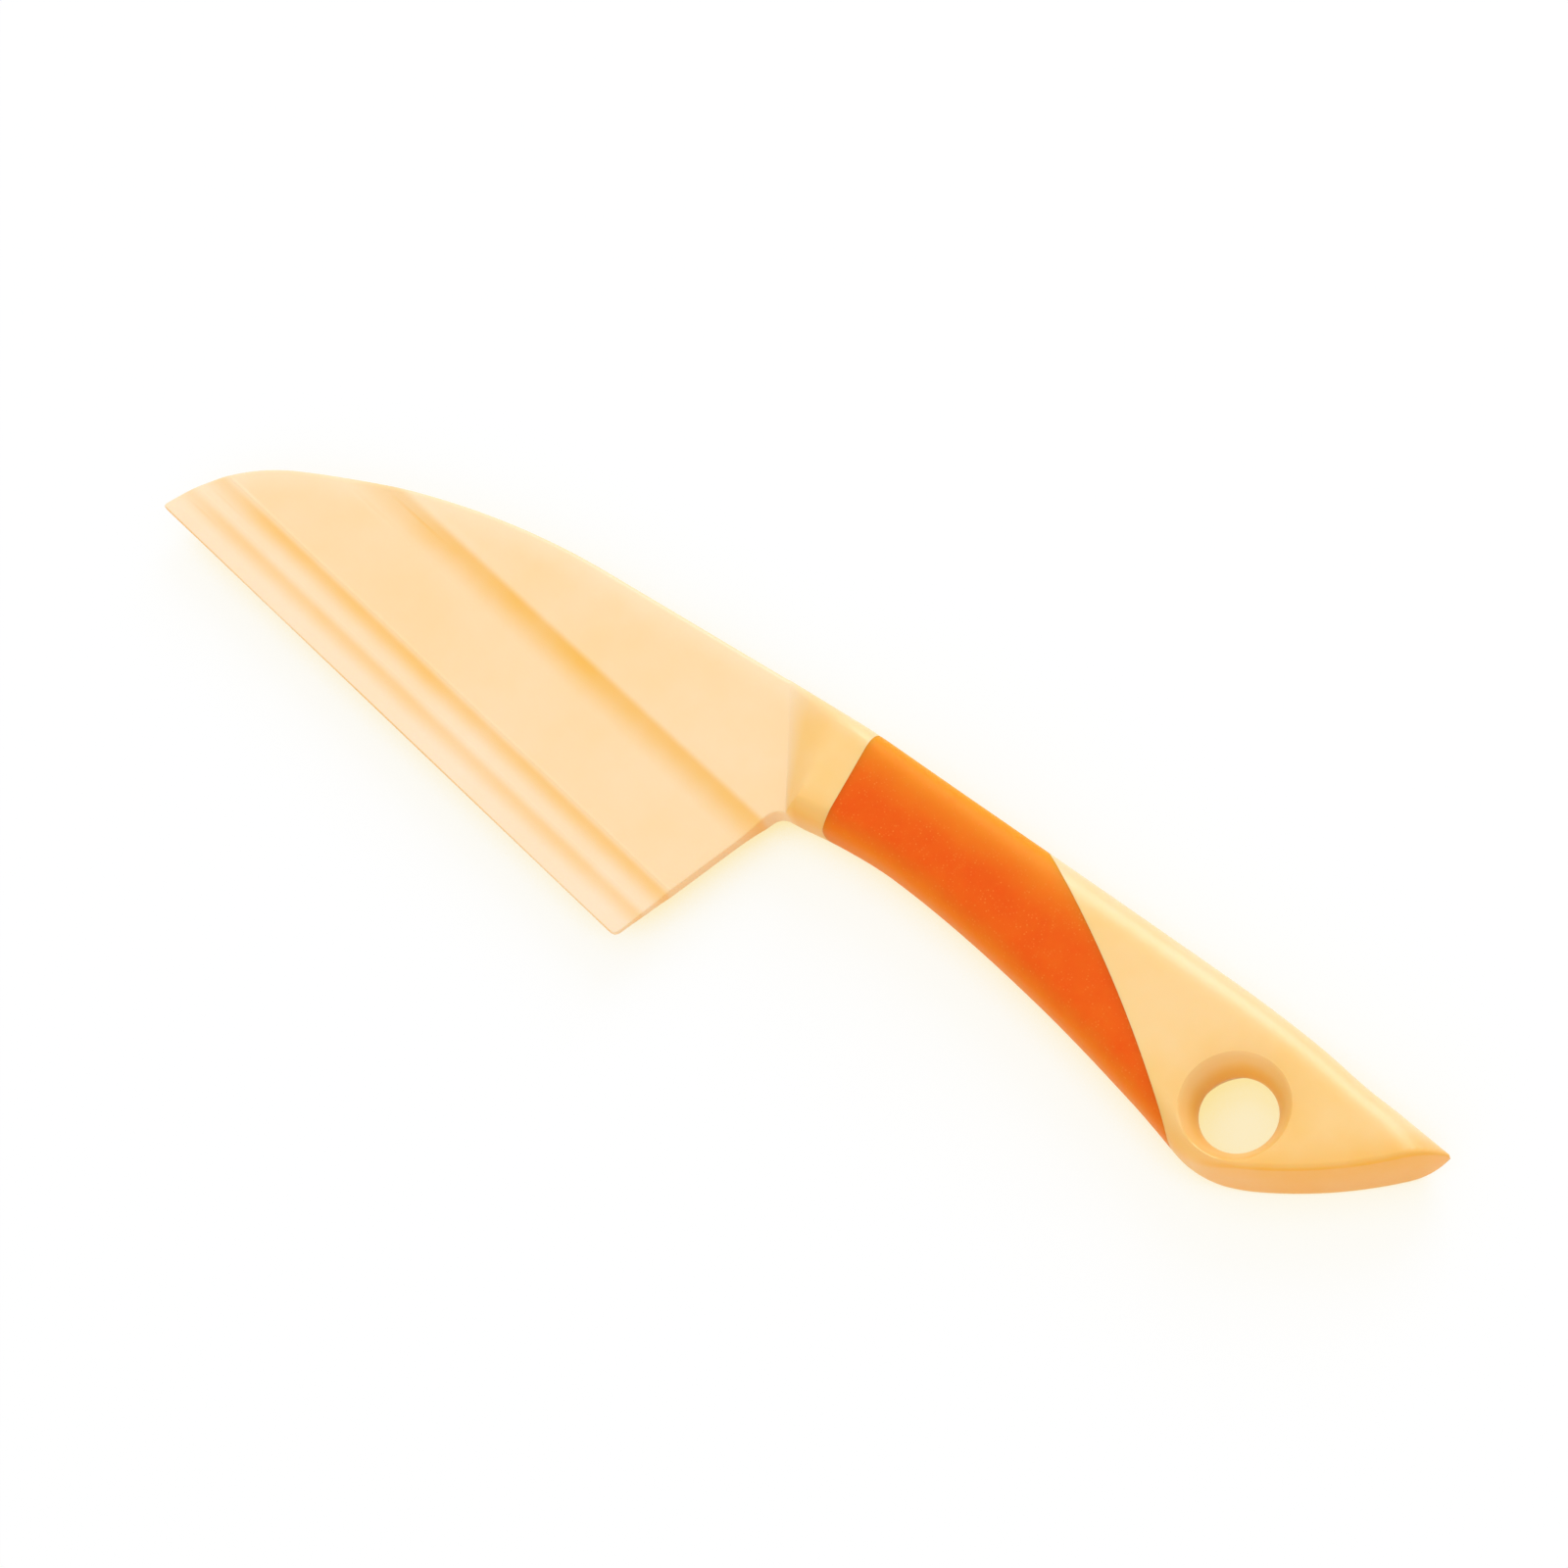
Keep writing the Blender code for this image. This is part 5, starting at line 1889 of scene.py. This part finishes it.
@dataclass
class CheeseKnife:
    """The whole knife: its body and its grip."""

    outline: KnifeOutline = field(default_factory=KnifeOutline)
    edge_half: float = 0.55
    crease_degrees: float = 38.0
    # How much painted shade each kind of place gets, and how far it reaches
    border_shade: float = 0.55
    border_mm: float = 6.0
    wall_shade: float = 0.3
    wall_mm: float = 1.0
    edge_shade: float = 0.7
    edge_mm: float = 0.28
    hole_shade: float = 0.75
    round_hole_shade: float = 0.35
    round_hole_reach: float = 3.0
    ramp_shade: float = 0.14
    flutes: Tuple[Flute, ...] = (
        Flute(crest=6.3, width=4.3, rise=0.25, steepest=0.68, bead=0.01, tint=0.55),
        Flute(crest=11.3, width=4.3, rise=0.35, steepest=0.74, bead=0.05, tint=0.8),
        Flute(crest=30.3, width=6.5, rise=0.85, steepest=0.8, bead=0.0, tint=1.0),
    )

    def warmth(self, sheet: KnifeSheet) -> List[float]:
        """How much painted shade each place gets: at low borders, the cutting edge, in and round the hole, on
        the ramp.

        Args:
            sheet: The knife's upper side.

        Returns:
            A share for each place.
        """
        low = sheet.nearest(self.outline.palm_line() + self.outline.end_line())
        edge = sheet.nearest(self.outline.edge_line())
        shares = []
        for spot, off, off_edge in zip(sheet.spots, low, edge):
            climb = held(sheet.ramp.share_at(spot))
            border = self.border_shade * (1 - smooth(off / self.border_mm))
            wall = self.wall_shade * (1 - smooth(off / self.wall_mm))
            shares.append(max(
                (border + wall) * climb,
                self.edge_shade * (1 - smooth(off_edge / self.edge_mm)),
                self.hole_shade * (1 - smooth(sheet.hole.flare(spot))),
                self.round_hole_shade * (1 - smooth(sheet.hole.flare(spot) / self.round_hole_reach)),
                self.ramp_shade * 4 * climb * (1 - climb),
            ))
        return shares

    def surface(self, finish: Material) -> Net:
        """The knife's whole surface, with the flutes let in.

        Args:
            finish: The body's material.

        Returns:
            The surface as a net.
        """
        seam, ramp = GripSeam(self.outline), Ramp(self.outline)
        sheet = KnifeSheet(self.outline, HangingHole(self.outline), seam, ramp, self.flutes)
        sheet.cut()
        spots, faces = sheet.solid()
        mesh = bpy.data.meshes.new("knife_form")
        mesh.from_pydata(spots, [], faces)
        facts = {
            Fact.HALF_THICKNESS: sheet.faces_half,
            Fact.FROM_BACK: sheet.nearest(self.outline.back_line()),
            Fact.FROM_PALM: sheet.nearest(self.outline.palm_line()),
            Fact.WARMTH: self.warmth(sheet),
        }
        for fact, values in facts.items():
            mesh.attributes.new(fact.value, "FLOAT", "POINT").data.foreach_set("value", values * SIDES)
        return Net.read(FluteTree(self.flutes, self.edge_half, self.outline.back_half).apply(mesh, finish))

    def dress(self, name: str, net: Net, finish: Material, node: str) -> None:
        """Makes a finished piece of a net and puts it in the place of a CAD node.

        Args:
            name: The piece's name.
            net: Its form.
            finish: Its material.
            node: The CAD node that it stands for.
        """
        mesh = net.mesh(name)
        mesh.materials.append(finish)
        mesh.shade_smooth()
        mesh.set_sharp_from_angle(angle=math.radians(self.crease_degrees))
        piece = placed(name, mesh)
        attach(piece, "root")
        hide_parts(node)
        report(piece)

    def build(self) -> None:
        """Builds and dresses the body and the grip."""
        cream = MouldedPolypropylene().material()
        orange = OvermouldedElastomer().material()
        shells = GripShells(self.surface(cream), GripSeam(self.outline))
        shells.sink_seam()
        self.dress("moulded_body", shells.body(), cream, "knife_body")
        self.dress("grip_sleeve", shells.grip(), orange, "soft_grip")


def report(piece: Object) -> None:
    """Logs a piece's size and whether its surface is closed.

    Args:
        piece: The finished piece.
    """
    checked = bmesh.new()
    checked.from_mesh(piece.data)
    loose = sum(1 for edge in checked.edges if len(edge.link_faces) != 2)
    volume = checked.calc_volume(signed=True) / MM ** 3
    triangles = sum(len(polygon.vertices) - 2 for polygon in piece.data.polygons)
    checked.free()
    text = "%s: %d triangles, %d edges without two faces, %.0f cubic mm, %s mm"
    LOG.info(text, piece.name, triangles, loose, volume, [round(side / MM, 2) for side in piece.dimensions])


@dataclass(frozen=True)
class Lamp:
    """A square soft lamp that faces the knife."""

    name: str
    place: Tuple[float, float, float]
    side: float
    power: float

    def build(self) -> None:
        """Hangs the lamp."""
        data = bpy.data.lights.new(self.name, "AREA")
        data.energy = self.power
        data.size = self.side
        lamp = placed(self.name, data)
        lamp.location = self.place
        lamp.rotation_euler = (-Vector(self.place)).to_track_quat("-Z", "Y").to_euler()


@dataclass(frozen=True)
class Studio:
    """Camera, floor and soft plain light."""

    eye: Tuple[float, float, float] = (345.63, -94.99, 703.0)
    right: Tuple[float, float, float] = (0.6629, 0.7132, -0.2279)
    down: Tuple[float, float, float] = (0.6041, -0.6893, -0.3999)
    forward: Tuple[float, float, float] = (-0.4423, 0.1274, -0.8878)
    lens: float = 112.5
    sensor: float = 36.0
    near_limit: float = 0.01
    floor_side: float = 6.0
    surround: str = "#FFFFFF"
    world_strength: float = 0.77
    lamps: Tuple[Lamp, ...] = (
        Lamp("key", (-0.72, 1.56, 1.0), side=1.1, power=15.5),
        Lamp("fill", (0.74, -1.46, 1.15), side=1.5, power=5.8),
    )

    def camera(self) -> None:
        """Sets the camera at the photograph's viewing angle."""
        data = bpy.data.cameras.new("camera")
        data.lens = self.lens
        data.sensor_width = self.sensor
        data.clip_start = self.near_limit
        right, down, forward = Vector(self.right), Vector(self.down), Vector(self.forward)
        eye = Vector(self.eye) * MM
        rows = [(right[i], -down[i], -forward[i], eye[i]) for i in range(3)]
        seat = placed("camera", data)
        seat.matrix_world = Matrix(rows + [(0.0, 0.0, 0.0, 1.0)])
        bpy.context.scene.camera = seat

    def floor(self) -> None:
        """Lays the tabletop that the knife rests on."""
        half = self.floor_side / 2
        mesh = bpy.data.meshes.new("tabletop")
        corners = [(-half, -half, 0.0), (half, -half, 0.0), (half, half, 0.0), (-half, half, 0.0)]
        mesh.from_pydata(corners, [], [(0, 1, 2, 3)])
        mesh.materials.append(WhiteTabletop().material())
        placed("tabletop", mesh)

    def light(self) -> None:
        """Sets an even white surround, and the soft lamps."""
        world = bpy.data.worlds.new("surround")
        tree = empty_tree(world)
        even = {"Value": direct_rays(tree), "To Min": self.world_strength}
        strength = add_node(tree, "ShaderNodeMapRange", even).outputs[0]
        shine = add_node(tree, "ShaderNodeBackground", {"Color": linear(self.surround), "Strength": strength})
        add_node(tree, "ShaderNodeOutputWorld", {"Surface": shine.outputs[0]})
        bpy.context.scene.world = world
        for lamp in self.lamps:
            lamp.build()

    def build(self) -> None:
        """Sets up the whole studio."""
        self.camera()
        self.floor()
        self.light()
        bpy.context.scene.view_settings.view_transform = "Standard"


def main() -> None:
    """Builds the knife and its studio."""
    CheeseKnife().build()
    Studio().build()


if __name__ == "__main__":
    main()
